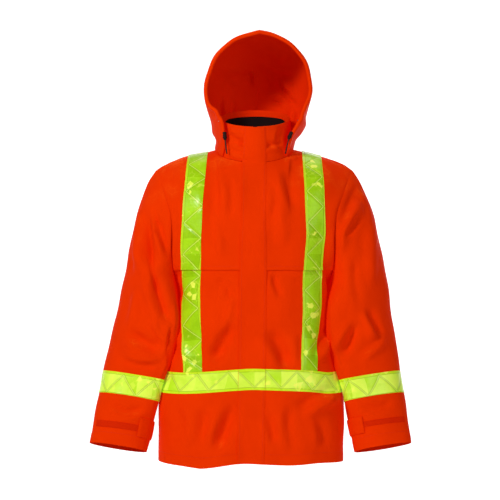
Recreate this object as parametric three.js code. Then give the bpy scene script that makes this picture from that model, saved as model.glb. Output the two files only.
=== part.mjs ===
import * as THREE from 'three';

// Hi-vis work jacket with a hood, filled out as if worn, in millimetres with +Z up.
// The front faces -Y and +X is the wearer's left. The origin is the middle of the neck,
// level with the neck ends of the shoulder seams.

const SHELL_WALL = 2;
const TAPE_WALL = 1.5;
const STRIP_WALL = 1.2;
const SEAM_GAP = 0.3;
const LAY_GAP = 0.3;

const ZIP_HALF = 5;
const ZIP_SIDE_GAP = 0.5;
const FLAP_HALF = 30;
const NECK_HALF = 88;
const NECK_MID_Y = 4;
const NECK_FRONT_REACH = 88;
const NECK_BACK_REACH = 68;
const NECK_FRONT_Z = -33;
const NECK_BACK_Z = 10;
const NECK_SIDE_Z = 1;

const HEM_Z = -714;
const BELT_BOTTOM_Z = -556;
const BELT_TOP_Z = -508;
const UNDERARM_Z = -300;
const YOKE_EDGE_Z = -276;
const TUCK_TOP_Z = -230;
const CHEST_Z = -200;
const SHOULDER_POINT = { x: 226, y: 4, z: -45 };
const YOKE_LIFT = 2.6;
const YOKE_LIFT_END_Z = -150;
const YOKE_SIDE_SHARE = 1.7;
const FLAP_LIFT_START_Z = -340;

// Exponent of the torso's rounded section: 2 is an ellipse, more is squarer
const TORSO_ROUND = 2.6;
const CURVE_HANDLE = 0.38;
const CHEST_SLOPE_STEP = 6;
const UPPER_REACH = 1.05;
const ARRIVAL = { neck: { inward: 0.35, upward: 1 }, side: { inward: 1, upward: 0.14 } };

const FRONT = -1;
const BACK = 1;
const RIGHT = -1;
const LEFT = 1;

function table(names, rows) {
  return rows.map((row) => Object.fromEntries(names.map((name, i) => [name, row[i]])));
}

// Each section of the torso: its height, half width and how far front and back reach
const TORSO = table(['z', 'halfWidth', 'front', 'back'], [
  [-714, 213, 121, 108],
  [-640, 214, 122, 108],
  [-566, 213, 123, 107],
  [-510, 198.5, 123, 105],
  [-470, 187, 122, 104],
  [-430, 177, 121, 104],
  [-380, 173, 120, 106],
  [-330, 175, 119, 108],
  [-300, 178, 119, 110],
  [-250, 190, 120, 113],
  [-200, 204, 120, 115],
]);

// The seam between body and sleeve, from the underarm up to the shoulder point
const ARMHOLE = table(['z', 'x', 'front', 'back', 'turn', 'drop'], [
  [-300, 178, 0, 0, 90, 0],
  [-288, 180, -28, 28, 85, 0],
  [-276, 181.5, -44, 42, 80, 0],
  [-255, 184, -60, 56, 72, 0],
  [-230, 185, -71, 66, 65, 0],
  [-200, 185, -78, 72, 60, 0.05],
  [-150, 189, -78, 75, 50, 0.1],
  [-115, 200, -64, 66, 38, 0.25],
  [-80, 213, -36, 44, 20, 0.45],
  [-57, 221, -14, 22, 8, 0.6],
  [-45, 226, 4, 4, 0, 0.7],
]);

const SHOULDER_SEAM = table(['x', 'z'], [
  [88, 1],
  [150, -13],
  [205, -30],
  [226, -45],
]);

// Edges of the vertical tapes, as distances from the centre front, by height
const TAPE_COURSE = table(['z', 'rightIn', 'rightOut', 'leftIn', 'leftOut'], [
  [-714, 112, 154, 108, 147],
  [-505, 112, 154, 110, 148],
  [-346, 118, 163, 113, 154],
  [-277, 117, 162, 112, 154],
  [-187, 116, 162, 118, 163],
  [-115, 111, 157, 114, 160],
  [-20, 107, 152, 109, 154],
]);

// Sections of the sleeve below its cap: outer and inner points in front view, the
// section's middle and half depth in Y, how far its inner line lies ahead of the middle,
// where it presses on the body, and how much lower its back is than its front
const SLEEVE = table(
  ['s', 'rightX', 'leftX', 'outerZ', 'innerX', 'innerZ', 'y', 'halfDepth', 'ahead', 'tilt'],
  [
    [0, 283, 292, -215, 175, -338, 0, 76, -16, 0],
    [1, 298, 307, -290, 172.5, -380, 4, 74, -36, 0.02],
    [2, 309, 318, -350, 175.5, -420, 9, 71, -44, 0.03],
    [3, 322, 326, -405, 183.5, -458, 11, 67, -46, 0.05],
    [4, 333, 336, -458, 194, -494, 7, 62, -42, 0.1],
    [5, 342, 342, -510, 207, -533, -3, 56, -34, 0.15],
    [6, 347, 347, -535, 213.5, -558, -9, 53, -30, 0.18],
    [7, 351.5, 351.5, -560, 216.5, -583, -15, 51, -24, 0.2],
    [8, 357, 356, -600, 221.5, -622, -28, 46, -10, 0.22],
    [9, 362, 361, -638, 228, -657, -38, 41, 0, 0.24],
    [10, 366.5, 364.5, -671.5, 237, -692, -47, 37, 0, 0.25],
  ],
);
const CAP_STEPS = 5;
const CAP_OUTWARD = 0.8;
const CAP_DOWNWARD = 0.6;
const CAP_FULLNESS = 0.5;

// Rings of each sleeve. The last five are the tab's top, the loop strip's two edges, the
// tab's bottom and the cuff. Band, tab and strip each lie between two places in the list
const SLEEVE_RINGS = {
  right: [0, 1, 2, 3, 4, 5, 6, 7, 8.1, 8.55, 8.95, 9.25, 10],
  left: [0, 1, 2, 3, 4, 5, 6, 7, 8.02, 8.35, 8.68, 9.02, 10],
};
const BAND_PLACES = [5, 7];
const TAB_PLACES = [8, 11];
const STRIP_PLACES = [9, 10];
const STRIP_ANGLES = [57, 149];
const TAB_ANGLES = [-62, 57];

// Sideways lean of the whole garment, by height
const LEAN = table(['z', 'shift'], [
  [-714, -4.5],
  [-400, 0],
  [-100, 3],
  [60, 6],
  [275, 11.5],
]);

// The hood stands a little further over than the collar
const HOOD_LEAN = table(['z', 'shift'], [
  [-20, 3.5],
  [25, 5],
  [60, 11],
  [100, 12],
  [275, 16],
]);

// Unevenness of the front hem, across the jacket
const HEM_WAVE = table(['x', 'lower'], [
  [-213, 0],
  [-145, 5],
  [-112, 9],
  [-20, -3],
  [88, 1],
  [150, -2],
  [213, 0],
]);
const HEM_WAVE_HEIGHT = 120;

// The waist hangs a little higher at the middle of the front than at the sides
const WAIST_RISE = table(['x', 'rise'], [
  [-178, 0],
  [-159, 0.5],
  [-115, 3],
  [-40, 9],
  [0, 11.4],
  [50, 10],
  [108, 7.5],
  [150, 4],
  [178, 0],
]);
const WAIST_RISE_SIDES = [178, 140];
const WAIST_RISE_STARTS = [-650, -430];
const WAIST_RISE_FULL = [-566, -500];

// Largest folds: a line in front view from one end to the other, its half breadth, and
// its height, where less than 0 is a trough
const FOLDS = table(['piece', 'face', 'x0', 'z0', 'x1', 'z1', 'breadth', 'height'], [
  ['sleeve_right', FRONT, -254, -140, -238, -290, 16, -5],
  ['sleeve_right', FRONT, -226, -160, -195, -245, 14, -4],
  ['sleeve_right', FRONT, -238, -300, -185, -410, 18, -5],
  ['sleeve_right', BACK, -240, -180, -215, -300, 18, -4],
  ['sleeve_right', BACK, -290, -400, -210, -440, 20, -5],
  ['sleeve_right', FRONT, -300, -425, -225, -470, 20, 4],
  ['sleeve_left', FRONT, 265, -100, 215, -180, 16, 4],
  ['sleeve_left', FRONT, 255, -150, 208, -208, 14, -4],
  ['sleeve_left', FRONT, 272, -370, 300, -432, 20, 5],
  ['sleeve_left', FRONT, 240, -410, 208, -485, 18, -4],
  ['sleeve_left', BACK, 285, -420, 215, -450, 20, -5],
  ['sleeve_left', BACK, 240, -180, 215, -300, 18, -4],
  ['body', FRONT, -40, -390, -97, -500, 16, -4],
  ['body', FRONT, 36, -410, 86, -505, 20, -4],
  ['body', FRONT, -40, -575, -91, -710, 18, -4],
  ['body', FRONT, 185, -580, 115, -622, 16, 4],
  ['body', BACK, -60, -350, -150, -480, 24, -5],
  ['body', BACK, 55, -360, 140, -490, 24, -5],
  ['body', BACK, 0, -150, 10, -420, 26, 4],
  ['body', BACK, 40, -570, 95, -700, 20, -4],
]);

// Folds of a sleeve fade out where it turns from one face to the other
const SIDE_FACING = 0.2;
const FULL_FACING = 0.7;

// Stand collar at its front, sides and back: heights of its top edge and its top size
const COLLAR_TOP = { front: 47, side: 74, back: 96 };
const COLLAR_TOP_HALF = 81;
const COLLAR_TOP_FRONT_REACH = 92;
const COLLAR_TOP_BACK_REACH = 62;
const COLLAR_ROWS = 4;
const COLLAR_LIFT = 0.5;
const LINING_TOP_SHARE = 0.84;
const LINING_FROM_ANGLE = 0.7;
const LINING_WALL = 1.2;

// Hood arches from the front rim to the back of the neck. Each is half an arch: the angle
// round the neck where it starts, in degrees from the front, then its points up to the
// centre seam. The last arch runs along the neck itself
const HOOD_ARCHES = [
  { baseAngle: 53, points: table(['rightX', 'leftX', 'y', 'z'], [
    [70, 82, -61, 8],
    [77, 91, -66, 38],
    [88, 99, -64, 65],
    [106, 109, -58, 85],
    [120, 120, -52, 112],
    [123.5, 123.5, -50, 136],
    [117, 117, -54, 172],
    [103, 103, -64, 206],
    [79, 79, -75, 233],
    [43, 43, -83, 255],
    [0, 0, -88, 266],
  ]) },
  { baseAngle: 78, points: table(['rightX', 'leftX', 'y', 'z'], [
    [91, 92, -24, 24],
    [96, 99, -27, 50],
    [108, 110, -25, 80],
    [121, 121, -20, 110],
    [125, 125, -18, 138],
    [119, 119, -20, 176],
    [104, 104, -26, 212],
    [78, 78, -32, 240],
    [40, 40, -36, 262.5],
    [0, 0, -38, 272],
  ]) },
  { baseAngle: 98, points: table(['rightX', 'leftX', 'y', 'z'], [
    [97, 97, 20, 28],
    [107, 107, 30, 62],
    [118, 118, 40, 100],
    [121, 121, 46, 138],
    [114, 114, 50, 178],
    [97, 97, 53, 213],
    [72, 72, 56, 240],
    [38, 38, 58, 256],
    [0, 0, 59, 261],
  ]) },
  { baseAngle: 116, points: table(['rightX', 'leftX', 'y', 'z'], [
    [92, 92, 56, 34],
    [101, 101, 80, 68],
    [99, 99, 98, 104],
    [86, 86, 110, 138],
    [62, 62, 119, 164],
    [32, 32, 124, 178],
    [0, 0, 126, 182],
  ]) },
  { baseAngle: 130, points: table(['rightX', 'leftX', 'y', 'z'], [
    [81, 81, 63, 24],
    [80, 80, 82, 46],
    [66, 66, 97, 64],
    [36, 36, 107, 76],
    [0, 0, 110, 80],
  ]) },
];
const HOOD_LAST_ANGLES = [140, 150, 160, 170, 180];
const HOOD_OUT = 2.6;
const HOOD_UP = 2.2;
const HOOD_ROWS_BETWEEN = 2;
const HOOD_COLUMNS = 12;

// Drawcords of the hood, by points down the middle of each, with an eyelet at the top and
// a round lock part of the way down
const CORD_RADIUS = 1.5;
const CORD_SIDES = 8;
const CORD_STEPS = 16;
const CORD_POINTS = table(['side', 'x', 'y', 'z'], [
  [RIGHT, -86.8, -58, 66],
  [RIGHT, -75, -63, 46],
  [RIGHT, -68, -67, 26],
  [RIGHT, -65, -70, 8],
  [RIGHT, -62, -75, -12],
  [LEFT, 95.5, -58, 66],
  [LEFT, 87, -63, 46],
  [LEFT, 79, -67, 26],
  [LEFT, 75, -70, 8],
  [LEFT, 71, -75, -12],
]);
const LOCK = { radius: 5, bore: 2.4, half: 9, soft: 0.4, at: 0.5, segments: 16 };
const EYELET = { radius: 4, bore: 2, half: 1, soft: 0.4, at: 0.04, segments: 16 };

const SHELL = { color: 0xe8320c, roughness: 0.6, metalness: 0 };
const TAPE = { color: 0xb8e020, roughness: 0.3, metalness: 0 };
const LINING = { color: 0x141414, roughness: 0.9, metalness: 0 };
const STRIP = { color: 0xd02a10, roughness: 0.9, metalness: 0 };
const ZIP = { color: 0xc83210, roughness: 0.7, metalness: 0 };
const CORD = { color: 0x55504c, roughness: 0.8, metalness: 0 };
const LOCK_PLASTIC = { color: 0x2a1c18, roughness: 0.4, metalness: 0 };
const PLATED_METAL = { color: 0x9a9a98, roughness: 0.3, metalness: 1 };

function lerp(a, b, t) {
  return a + (b - a) * t;
}

function smoothstep(from, to, value) {
  const t = Math.min(Math.max((value - from) / (to - from), 0), 1);
  return t * t * (3 - 2 * t);
}

// Smooth curve through a table's column, read by another of its columns
function valueAt(rows, key, at, column) {
  const last = rows.length - 1;
  if (at <= rows[0][key]) return rows[0][column];
  if (at >= rows[last][key]) return rows[last][column];
  let i = 0;
  while (at > rows[i + 1][key]) i += 1;
  const slope = (j) => {
    const a = rows[Math.max(j - 1, 0)];
    const b = rows[Math.min(j + 1, last)];
    return (b[column] - a[column]) / (b[key] - a[key]);
  };
  const span = rows[i + 1][key] - rows[i][key];
  const t = (at - rows[i][key]) / span;
  return hermite(rows[i][column], slope(i) * span, rows[i + 1][column], slope(i + 1) * span, t);
}

function hermite(a, tangentA, b, tangentB, t) {
  const t2 = t * t;
  const t3 = t2 * t;
  return (2 * t3 - 3 * t2 + 1) * a + (t3 - 2 * t2 + t) * tangentA
    + (3 * t2 - 2 * t3) * b + (t3 - t2) * tangentB;
}

function hermitePoint(a, tangentA, b, tangentB, t) {
  return new THREE.Vector3(
    hermite(a.x, tangentA.x, b.x, tangentB.x, t),
    hermite(a.y, tangentA.y, b.y, tangentB.y, t),
    hermite(a.z, tangentA.z, b.z, tangentB.z, t),
  );
}

// Levels of the body's rows up to the chest, then even steps on to the top edge
const LEVELS = [HEM_Z, -690, -650, -605, BELT_BOTTOM_Z, -535, BELT_TOP_Z, -470, -430, -390,
  -350, -320, UNDERARM_Z, YOKE_EDGE_Z, -255, TUCK_TOP_Z, CHEST_Z];
const TOP_STEPS = 8;
const TOP_ROW = LEVELS.length - 1 + TOP_STEPS;
const ROW_BELT_BOTTOM = LEVELS.indexOf(BELT_BOTTOM_Z);
const ROW_BELT_TOP = LEVELS.indexOf(BELT_TOP_Z);
const ROW_UNDERARM = LEVELS.indexOf(UNDERARM_Z);
const ROW_YOKE = LEVELS.indexOf(YOKE_EDGE_Z);
const ROW_TUCK = LEVELS.indexOf(TUCK_TOP_Z);
const ROW_CHEST = LEVELS.indexOf(CHEST_Z);

// Columns of a half body: centre, flap edge, collar front, neck side, tape, side
const COLUMN_TAPE_IN = 5;
const COLUMN_TAPE_OUT = 7;
const COLUMN_END = 11;
const COLLAR_FRONT_X = 60;
const COLLAR_SIDE_X = 78;

function columnX(column, side, face, z) {
  const name = side === RIGHT ? 'right' : 'left';
  const tapeIn = valueAt(TAPE_COURSE, 'z', z, `${name}In`);
  const tapeOut = valueAt(TAPE_COURSE, 'z', z, `${name}Out`);
  const centre = face === FRONT ? ZIP_HALF : 0;
  const tapeMiddle = (tapeIn + tapeOut) / 2;
  return [centre, FLAP_HALF, COLLAR_FRONT_X, COLLAR_SIDE_X, NECK_HALF, tapeIn, tapeMiddle,
    tapeOut][column];
}

function levelPoint(x, face, z) {
  const halfWidth = valueAt(TORSO, 'z', z, 'halfWidth');
  const depth = valueAt(TORSO, 'z', z, face === FRONT ? 'front' : 'back');
  const y = depth * (1 - (x / halfWidth) ** TORSO_ROUND) ** (1 / TORSO_ROUND);
  return new THREE.Vector3(x, face * y, z);
}

function neckPoint(x, face) {
  const along = Math.sqrt(Math.max(1 - (x / NECK_HALF) ** 2, 0));
  const reach = face === FRONT ? NECK_FRONT_REACH : NECK_BACK_REACH;
  const z = lerp(NECK_SIDE_Z, face === FRONT ? NECK_FRONT_Z : NECK_BACK_Z, along);
  return new THREE.Vector3(x, NECK_MID_Y + face * reach * along, z);
}

function topPoint(x, face) {
  if (x <= NECK_HALF) return neckPoint(x, face);
  return new THREE.Vector3(x, SHOULDER_POINT.y, valueAt(SHOULDER_SEAM, 'x', x, 'z'));
}

// A column between the chest and the top edge. It leaves the chest as the level rows do,
// and arrives steeply at the neck's front but nearly level at its sides
function upperPoint(x, chestX, face, t) {
  const below = levelPoint(chestX, face, CHEST_Z - CHEST_SLOPE_STEP);
  const chest = levelPoint(chestX, face, CHEST_Z);
  const top = topPoint(x, face);
  const reach = top.distanceTo(chest) * UPPER_REACH;
  const towardSide = Math.min(x / NECK_HALF, 1) ** 2;
  const leave = chest.clone().sub(below).normalize().multiplyScalar(reach);
  const arrive = new THREE.Vector3(
    0,
    -face * lerp(ARRIVAL.neck.inward, ARRIVAL.side.inward, towardSide),
    lerp(ARRIVAL.neck.upward, ARRIVAL.side.upward, towardSide),
  ).normalize().multiplyScalar(reach);
  return hermitePoint(chest, leave, top, arrive, t);
}

function innerPoint(column, side, face, row) {
  if (row <= ROW_CHEST) return levelPoint(columnX(column, side, face, LEVELS[row]), face, LEVELS[row]);
  const t = (row - ROW_CHEST) / TOP_STEPS;
  const topX = columnX(column, side, face, -20);
  return upperPoint(topX, columnX(column, side, face, CHEST_Z), face, t);
}

function edgeZ(row) {
  if (row <= ROW_CHEST) return LEVELS[row];
  const t = (row - ROW_CHEST) / TOP_STEPS;
  return lerp(CHEST_Z, SHOULDER_POINT.z, 1 - (1 - t) ** 1.5);
}

// The side seam below the underarm, and the armhole above it
function edgePoint(face, row) {
  const z = edgeZ(row);
  if (row <= ROW_UNDERARM) return new THREE.Vector3(valueAt(TORSO, 'z', z, 'halfWidth'), 0, z);
  const y = valueAt(ARMHOLE, 'z', z, face === FRONT ? 'front' : 'back');
  return new THREE.Vector3(valueAt(ARMHOLE, 'z', z, 'x'), y, z);
}

function edgeTangent(face, row) {
  const z = edgeZ(row);
  const turn = THREE.MathUtils.degToRad(valueAt(ARMHOLE, 'z', z, 'turn'));
  const drop = valueAt(ARMHOLE, 'z', z, 'drop');
  return new THREE.Vector3(Math.cos(turn), -face * Math.sin(turn), -drop).normalize();
}

// Round a level section from the tape to the side seam, in even turns
function sidePoint(t, side, face, z) {
  const halfWidth = valueAt(TORSO, 'z', z, 'halfWidth');
  const tapeX = columnX(COLUMN_TAPE_OUT, side, face, z);
  const first = Math.asin((tapeX / halfWidth) ** (TORSO_ROUND / 2));
  const x = halfWidth * Math.sin(lerp(first, Math.PI / 2, t)) ** (2 / TORSO_ROUND);
  return levelPoint(Math.min(x, halfWidth), face, z);
}

// Between the tape and the armhole, a row is one soft bend
function outerPoint(column, side, face, row) {
  const t = (column - COLUMN_TAPE_OUT) / (COLUMN_END - COLUMN_TAPE_OUT);
  if (row < ROW_UNDERARM) return sidePoint(t, side, face, LEVELS[row]);
  const start = innerPoint(COLUMN_TAPE_OUT, side, face, row);
  const before = innerPoint(COLUMN_TAPE_OUT - 1, side, face, row);
  const end = edgePoint(face, row);
  const handle = start.distanceTo(end) * CURVE_HANDLE;
  const leave = start.clone().sub(before).normalize().multiplyScalar(handle).add(start);
  const arrive = end.clone().addScaledVector(edgeTangent(face, row), -handle);
  return new THREE.CubicBezierCurve3(start, leave, arrive, end).getPoint(t);
}

function shape(point, face) {
  if (face === FRONT) {
    const atHem = 1 - smoothstep(0, HEM_WAVE_HEIGHT, point.z - HEM_Z);
    const atWaist = smoothstep(WAIST_RISE_STARTS[0], WAIST_RISE_FULL[0], point.z)
      * (1 - smoothstep(WAIST_RISE_FULL[1], WAIST_RISE_STARTS[1], point.z));
    const inward = smoothstep(...WAIST_RISE_SIDES, Math.abs(point.x));
    point.z += valueAt(WAIST_RISE, 'x', point.x, 'rise') * atWaist * inward
      - valueAt(HEM_WAVE, 'x', point.x, 'lower') * atHem;
  }
  point.x += valueAt(LEAN, 'z', point.z, 'shift');
  return point;
}

function bodyPoint(column, side, face, row) {
  const halfPoint = column <= COLUMN_TAPE_OUT
    ? innerPoint(column, side, face, row)
    : outerPoint(column, side, face, row);
  halfPoint.x *= side;
  return shape(halfPoint, face);
}

// A grid has rows of points, how its normals turn, and whether its rows close
function makeGrid(rowCount, columnCount, pointAt, turn, closed = false) {
  const points = [];
  for (let row = 0; row < rowCount; row += 1) {
    const line = [];
    for (let column = 0; column < columnCount; column += 1) line.push(pointAt(row, column));
    points.push(line);
  }
  return { points, turn, closed };
}

function ownNormals(grid) {
  const { points, turn, closed } = grid;
  const rowCount = points.length;
  const columnCount = points[0].length;
  const normals = points.map((line) => line.map(() => new THREE.Vector3()));
  const steps = closed ? columnCount : columnCount - 1;
  for (let r = 0; r < rowCount - 1; r += 1) {
    for (let c = 0; c < steps; c += 1) {
      const next = (c + 1) % columnCount;
      const across = points[r + 1][next].clone().sub(points[r][c]);
      const back = points[r + 1][c].clone().sub(points[r][next]);
      const face = across.cross(back).multiplyScalar(turn);
      [[r, c], [r, next], [r + 1, c], [r + 1, next]].forEach(([i, j]) => normals[i][j].add(face));
    }
  }
  return normals;
}

// Points within about a twentieth of a millimetre count as one place
function placeKey(point) {
  return [point.x, point.y, point.z].map((value) => Math.round(value * 20)).join(',');
}

// Neighbours share their normals along a seam, unless they fold back on each other there
function joinNormals(grids) {
  const sums = new Map();
  const own = grids.map((grid) => {
    const seen = new Map();
    const normals = ownNormals(grid);
    grid.points.forEach((line, r) => line.forEach((point, c) => {
      const key = placeKey(point);
      seen.set(key, (seen.get(key) ?? new THREE.Vector3()).add(normals[r][c]));
    }));
    seen.forEach((normal, key) => sums.set(key, [...(sums.get(key) ?? []), normal]));
    return seen;
  });
  grids.forEach((grid, index) => {
    grid.normals = grid.points.map((line) => line.map((point) => {
      const key = placeKey(point);
      const mine = own[index].get(key).clone().normalize();
      const total = new THREE.Vector3();
      sums.get(key).forEach((normal) => {
        if (normal.clone().normalize().dot(mine) > 0) total.add(normal);
      });
      return total.normalize();
    }));
  });
}

// Part of a grid, by first and last row and column
function cutGrid(grid, [firstRow, lastRow], [firstColumn, lastColumn]) {
  const cut = (lines) => lines.slice(firstRow, lastRow + 1)
    .map((line) => line.slice(firstColumn, lastColumn + 1).map((vector) => vector.clone()));
  return { points: cut(grid.points), normals: cut(grid.normals), turn: grid.turn, closed: false };
}

function raise(grid, heightAt) {
  const points = grid.points.map((line, r) => line.map((point, c) => (
    point.clone().addScaledVector(grid.normals[r][c], heightAt(point, r, c))
  )));
  return { ...grid, points };
}

// Draws each open edge of a grid back by half a seam's clearance
function pullBack(grid, amount = SEAM_GAP / 2) {
  const points = grid.points.map((line) => line.map((point) => point.clone()));
  const rowCount = points.length;
  const columnCount = points[0].length;
  const draw = (edge, inside) => {
    edge.addScaledVector(inside.clone().sub(edge).normalize(), amount);
  };
  for (let c = 0; c < columnCount; c += 1) {
    draw(points[0][c], grid.points[1][c]);
    draw(points[rowCount - 1][c], grid.points[rowCount - 2][c]);
  }
  if (!grid.closed) {
    for (let r = 0; r < rowCount; r += 1) {
      draw(points[r][0], grid.points[r][1]);
      draw(points[r][columnCount - 1], grid.points[r][columnCount - 2]);
    }
  }
  return { ...grid, points };
}

// A closed wall between two distances from the grid
function wall(grid, outer, inner) {
  const { points, normals, turn, closed } = grid;
  const rowCount = points.length;
  const columnCount = points[0].length;
  const positions = [];
  [outer, inner].forEach((distance) => points.forEach((line, r) => line.forEach((point, c) => {
    positions.push(...point.clone().addScaledVector(normals[r][c], distance).toArray());
  })));
  const indices = [];
  const layer = rowCount * columnCount;
  const at = (r, c, side) => side * layer + r * columnCount + (c % columnCount);
  const quad = (a, b, c, d) => {
    if (turn > 0) indices.push(a, b, c, a, c, d);
    else indices.push(a, c, b, a, d, c);
  };
  const steps = closed ? columnCount : columnCount - 1;
  for (let r = 0; r < rowCount - 1; r += 1) {
    for (let c = 0; c < steps; c += 1) {
      quad(at(r, c, 0), at(r, c + 1, 0), at(r + 1, c + 1, 0), at(r + 1, c, 0));
      quad(at(r, c, 1), at(r + 1, c, 1), at(r + 1, c + 1, 1), at(r, c + 1, 1));
    }
  }
  for (let c = 0; c < steps; c += 1) {
    quad(at(0, c, 1), at(0, c + 1, 1), at(0, c + 1, 0), at(0, c, 0));
    quad(at(rowCount - 1, c, 0), at(rowCount - 1, c + 1, 0),
      at(rowCount - 1, c + 1, 1), at(rowCount - 1, c, 1));
  }
  if (!closed) {
    for (let r = 0; r < rowCount - 1; r += 1) {
      quad(at(r, 0, 1), at(r, 0, 0), at(r + 1, 0, 0), at(r + 1, 0, 1));
      quad(at(r, columnCount - 1, 0), at(r, columnCount - 1, 1),
        at(r + 1, columnCount - 1, 1), at(r + 1, columnCount - 1, 0));
    }
  }
  const geometry = new THREE.BufferGeometry();
  geometry.setAttribute('position', new THREE.Float32BufferAttribute(positions, 3));
  geometry.setIndex(indices);
  geometry.computeVertexNormals();
  return geometry;
}

// A fold's height at a point, fading out past its ends
function foldHeight(piece, point, faceOf) {
  let height = 0;
  FOLDS.filter((fold) => fold.piece === piece && fold.face === faceOf).forEach((fold) => {
    const dx = fold.x1 - fold.x0;
    const dz = fold.z1 - fold.z0;
    const length = Math.hypot(dx, dz);
    const along = ((point.x - fold.x0) * dx + (point.z - fold.z0) * dz) / length;
    const off = ((point.x - fold.x0) * dz - (point.z - fold.z0) * dx) / length;
    const fade = smoothstep(-fold.breadth, fold.breadth, along)
      * (1 - smoothstep(length - fold.breadth, length + fold.breadth, along));
    height += fold.height * fade * Math.exp(-((off / fold.breadth) ** 2));
  });
  return height;
}

function bodyGrid(face, side) {
  return makeGrid(TOP_ROW + 1, COLUMN_END + 1, (row, column) => {
    const across = side === RIGHT ? COLUMN_END - column : column;
    return bodyPoint(across, side, face, row);
  }, -face);
}

function backGrid() {
  return makeGrid(TOP_ROW + 1, 2 * COLUMN_END + 1, (row, column) => {
    const side = column < COLUMN_END ? RIGHT : LEFT;
    return bodyPoint(Math.abs(column - COLUMN_END), side, BACK, row);
  }, -BACK);
}

// The armhole loop runs from the underarm up the front and down the back
function armholeLoop(side) {
  const loop = [];
  for (let row = ROW_UNDERARM; row <= TOP_ROW; row += 1) {
    loop.push(bodyPoint(COLUMN_END, side, FRONT, row));
  }
  for (let row = TOP_ROW - 1; row > ROW_UNDERARM; row -= 1) {
    loop.push(bodyPoint(COLUMN_END, side, BACK, row));
  }
  return loop;
}

// Angle round the sleeve of each point of the loop, by its share of the way round
function loopAngles(loop) {
  const top = TOP_ROW - ROW_UNDERARM;
  const lengths = [0];
  for (let k = 1; k <= loop.length; k += 1) {
    lengths.push(lengths[k - 1] + loop[k % loop.length].distanceTo(loop[k - 1]));
  }
  return loop.map((point, k) => {
    if (k <= top) return Math.PI * lengths[k] / lengths[top];
    return Math.PI + Math.PI * (lengths[k] - lengths[top]) / (lengths[loop.length] - lengths[top]);
  });
}

function sleeveSectionPoint(side, s, angle) {
  const names = ['outerZ', 'innerX', 'innerZ', 'y', 'halfDepth', 'ahead', 'tilt'];
  const row = Object.fromEntries(names.map((name) => [name, valueAt(SLEEVE, 's', s, name)]));
  row.outerX = valueAt(SLEEVE, 's', s, side === RIGHT ? 'rightX' : 'leftX');
  const middleX = (row.outerX + row.innerX) / 2;
  const middleZ = (row.outerZ + row.innerZ) / 2;
  const swing = -Math.cos(angle) / 2;
  const forward = -Math.sin(angle) * row.halfDepth + row.ahead * Math.cos(angle / 2) ** 4;
  const point = new THREE.Vector3(
    side * (middleX + swing * (row.outerX - row.innerX)),
    row.y + forward,
    middleZ + swing * (row.outerZ - row.innerZ) - row.tilt * forward,
  );
  point.x += valueAt(LEAN, 'z', point.z, 'shift');
  return point;
}

function sleeveGrid(side) {
  const loop = armholeLoop(side);
  const angles = loopAngles(loop);
  const rings = SLEEVE_RINGS[side === RIGHT ? 'right' : 'left'];
  const rowCount = 1 + CAP_STEPS + rings.length;
  const grid = makeGrid(rowCount, loop.length, (row, column) => {
    if (row === 0) return loop[column].clone();
    if (row > CAP_STEPS) return sleeveSectionPoint(side, rings[row - CAP_STEPS - 1], angles[column]);
    const start = loop[column];
    const end = sleeveSectionPoint(side, rings[0], angles[column]);
    const after = sleeveSectionPoint(side, rings[1], angles[column]);
    const reach = end.distanceTo(start);
    const high = Math.sin(angles[column] / 2) ** 2;
    const chord = end.clone().sub(start).normalize();
    const leave = new THREE.Vector3(side * CAP_OUTWARD, 0, -CAP_DOWNWARD)
      .lerp(chord, 1 - CAP_FULLNESS * high)
      .normalize().multiplyScalar(reach);
    const arrive = after.clone().sub(end).normalize().multiplyScalar(reach);
    return hermitePoint(start, leave, end, arrive, row / (CAP_STEPS + 1));
  }, -side, true);
  grid.angles = angles;
  return grid;
}

// Part of a sleeve between two rings and two angles, in degrees from its inner line
function cutSleeve(sleeve, places, [fromAngle, toAngle]) {
  const rows = places.map((place) => CAP_STEPS + 1 + place);
  const turnOf = (angle) => THREE.MathUtils.degToRad(angle);
  const nearest = (angle) => {
    const apart = sleeve.angles.map((value) => {
      const gap = Math.abs(value - angle) % (2 * Math.PI);
      return Math.min(gap, 2 * Math.PI - gap);
    });
    return apart.indexOf(Math.min(...apart));
  };
  const first = nearest(turnOf(fromAngle));
  const last = nearest(turnOf(toAngle));
  const count = sleeve.angles.length;
  const columns = [];
  for (let k = first; k % count !== last; k += 1) columns.push(k % count);
  columns.push(last);
  const cut = (lines) => lines.slice(rows[0], rows[1] + 1)
    .map((line) => columns.map((column) => line[column].clone()));
  return { points: cut(sleeve.points), normals: cut(sleeve.normals), turn: sleeve.turn, closed: false };
}

function foldBody(grid, face, columnsFromEdge) {
  return raise(grid, (point, row, column) => {
    const free = Math.min(columnsFromEdge(column) / 2, 1);
    return free * foldHeight('body', point, face);
  });
}

function foldSleeve(grid, side) {
  const name = side === RIGHT ? 'sleeve_right' : 'sleeve_left';
  return raise(grid, (point, row, column) => {
    const facing = grid.normals[row][column].y;
    const face = facing < 0 ? FRONT : BACK;
    const free = Math.min(row / 2, 1) * smoothstep(SIDE_FACING, FULL_FACING, Math.abs(facing));
    return free * foldHeight(name, point, face);
  });
}

function yokeLift(point) {
  return YOKE_LIFT * (1 - smoothstep(TUCK_TOP_Z, YOKE_LIFT_END_Z, point.z));
}

// The raised part of the yoke stops a little short of the sleeve
function freeAtArmhole(yoke, side) {
  const last = yoke.points[0].length - 1;
  const [edge, inside] = side === RIGHT ? [0, 1] : [last, last - 1];
  const points = yoke.points.map((line) => {
    const row = line.map((point) => point.clone());
    const inward = row[inside].clone().sub(row[edge]).normalize();
    row[edge].addScaledVector(inward, YOKE_SIDE_SHARE * yokeLift(row[edge]));
    return row;
  });
  return { ...yoke, points };
}

function flapLift(point) {
  return yokeLift(point) * smoothstep(FLAP_LIFT_START_Z, YOKE_EDGE_Z, point.z);
}

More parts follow.
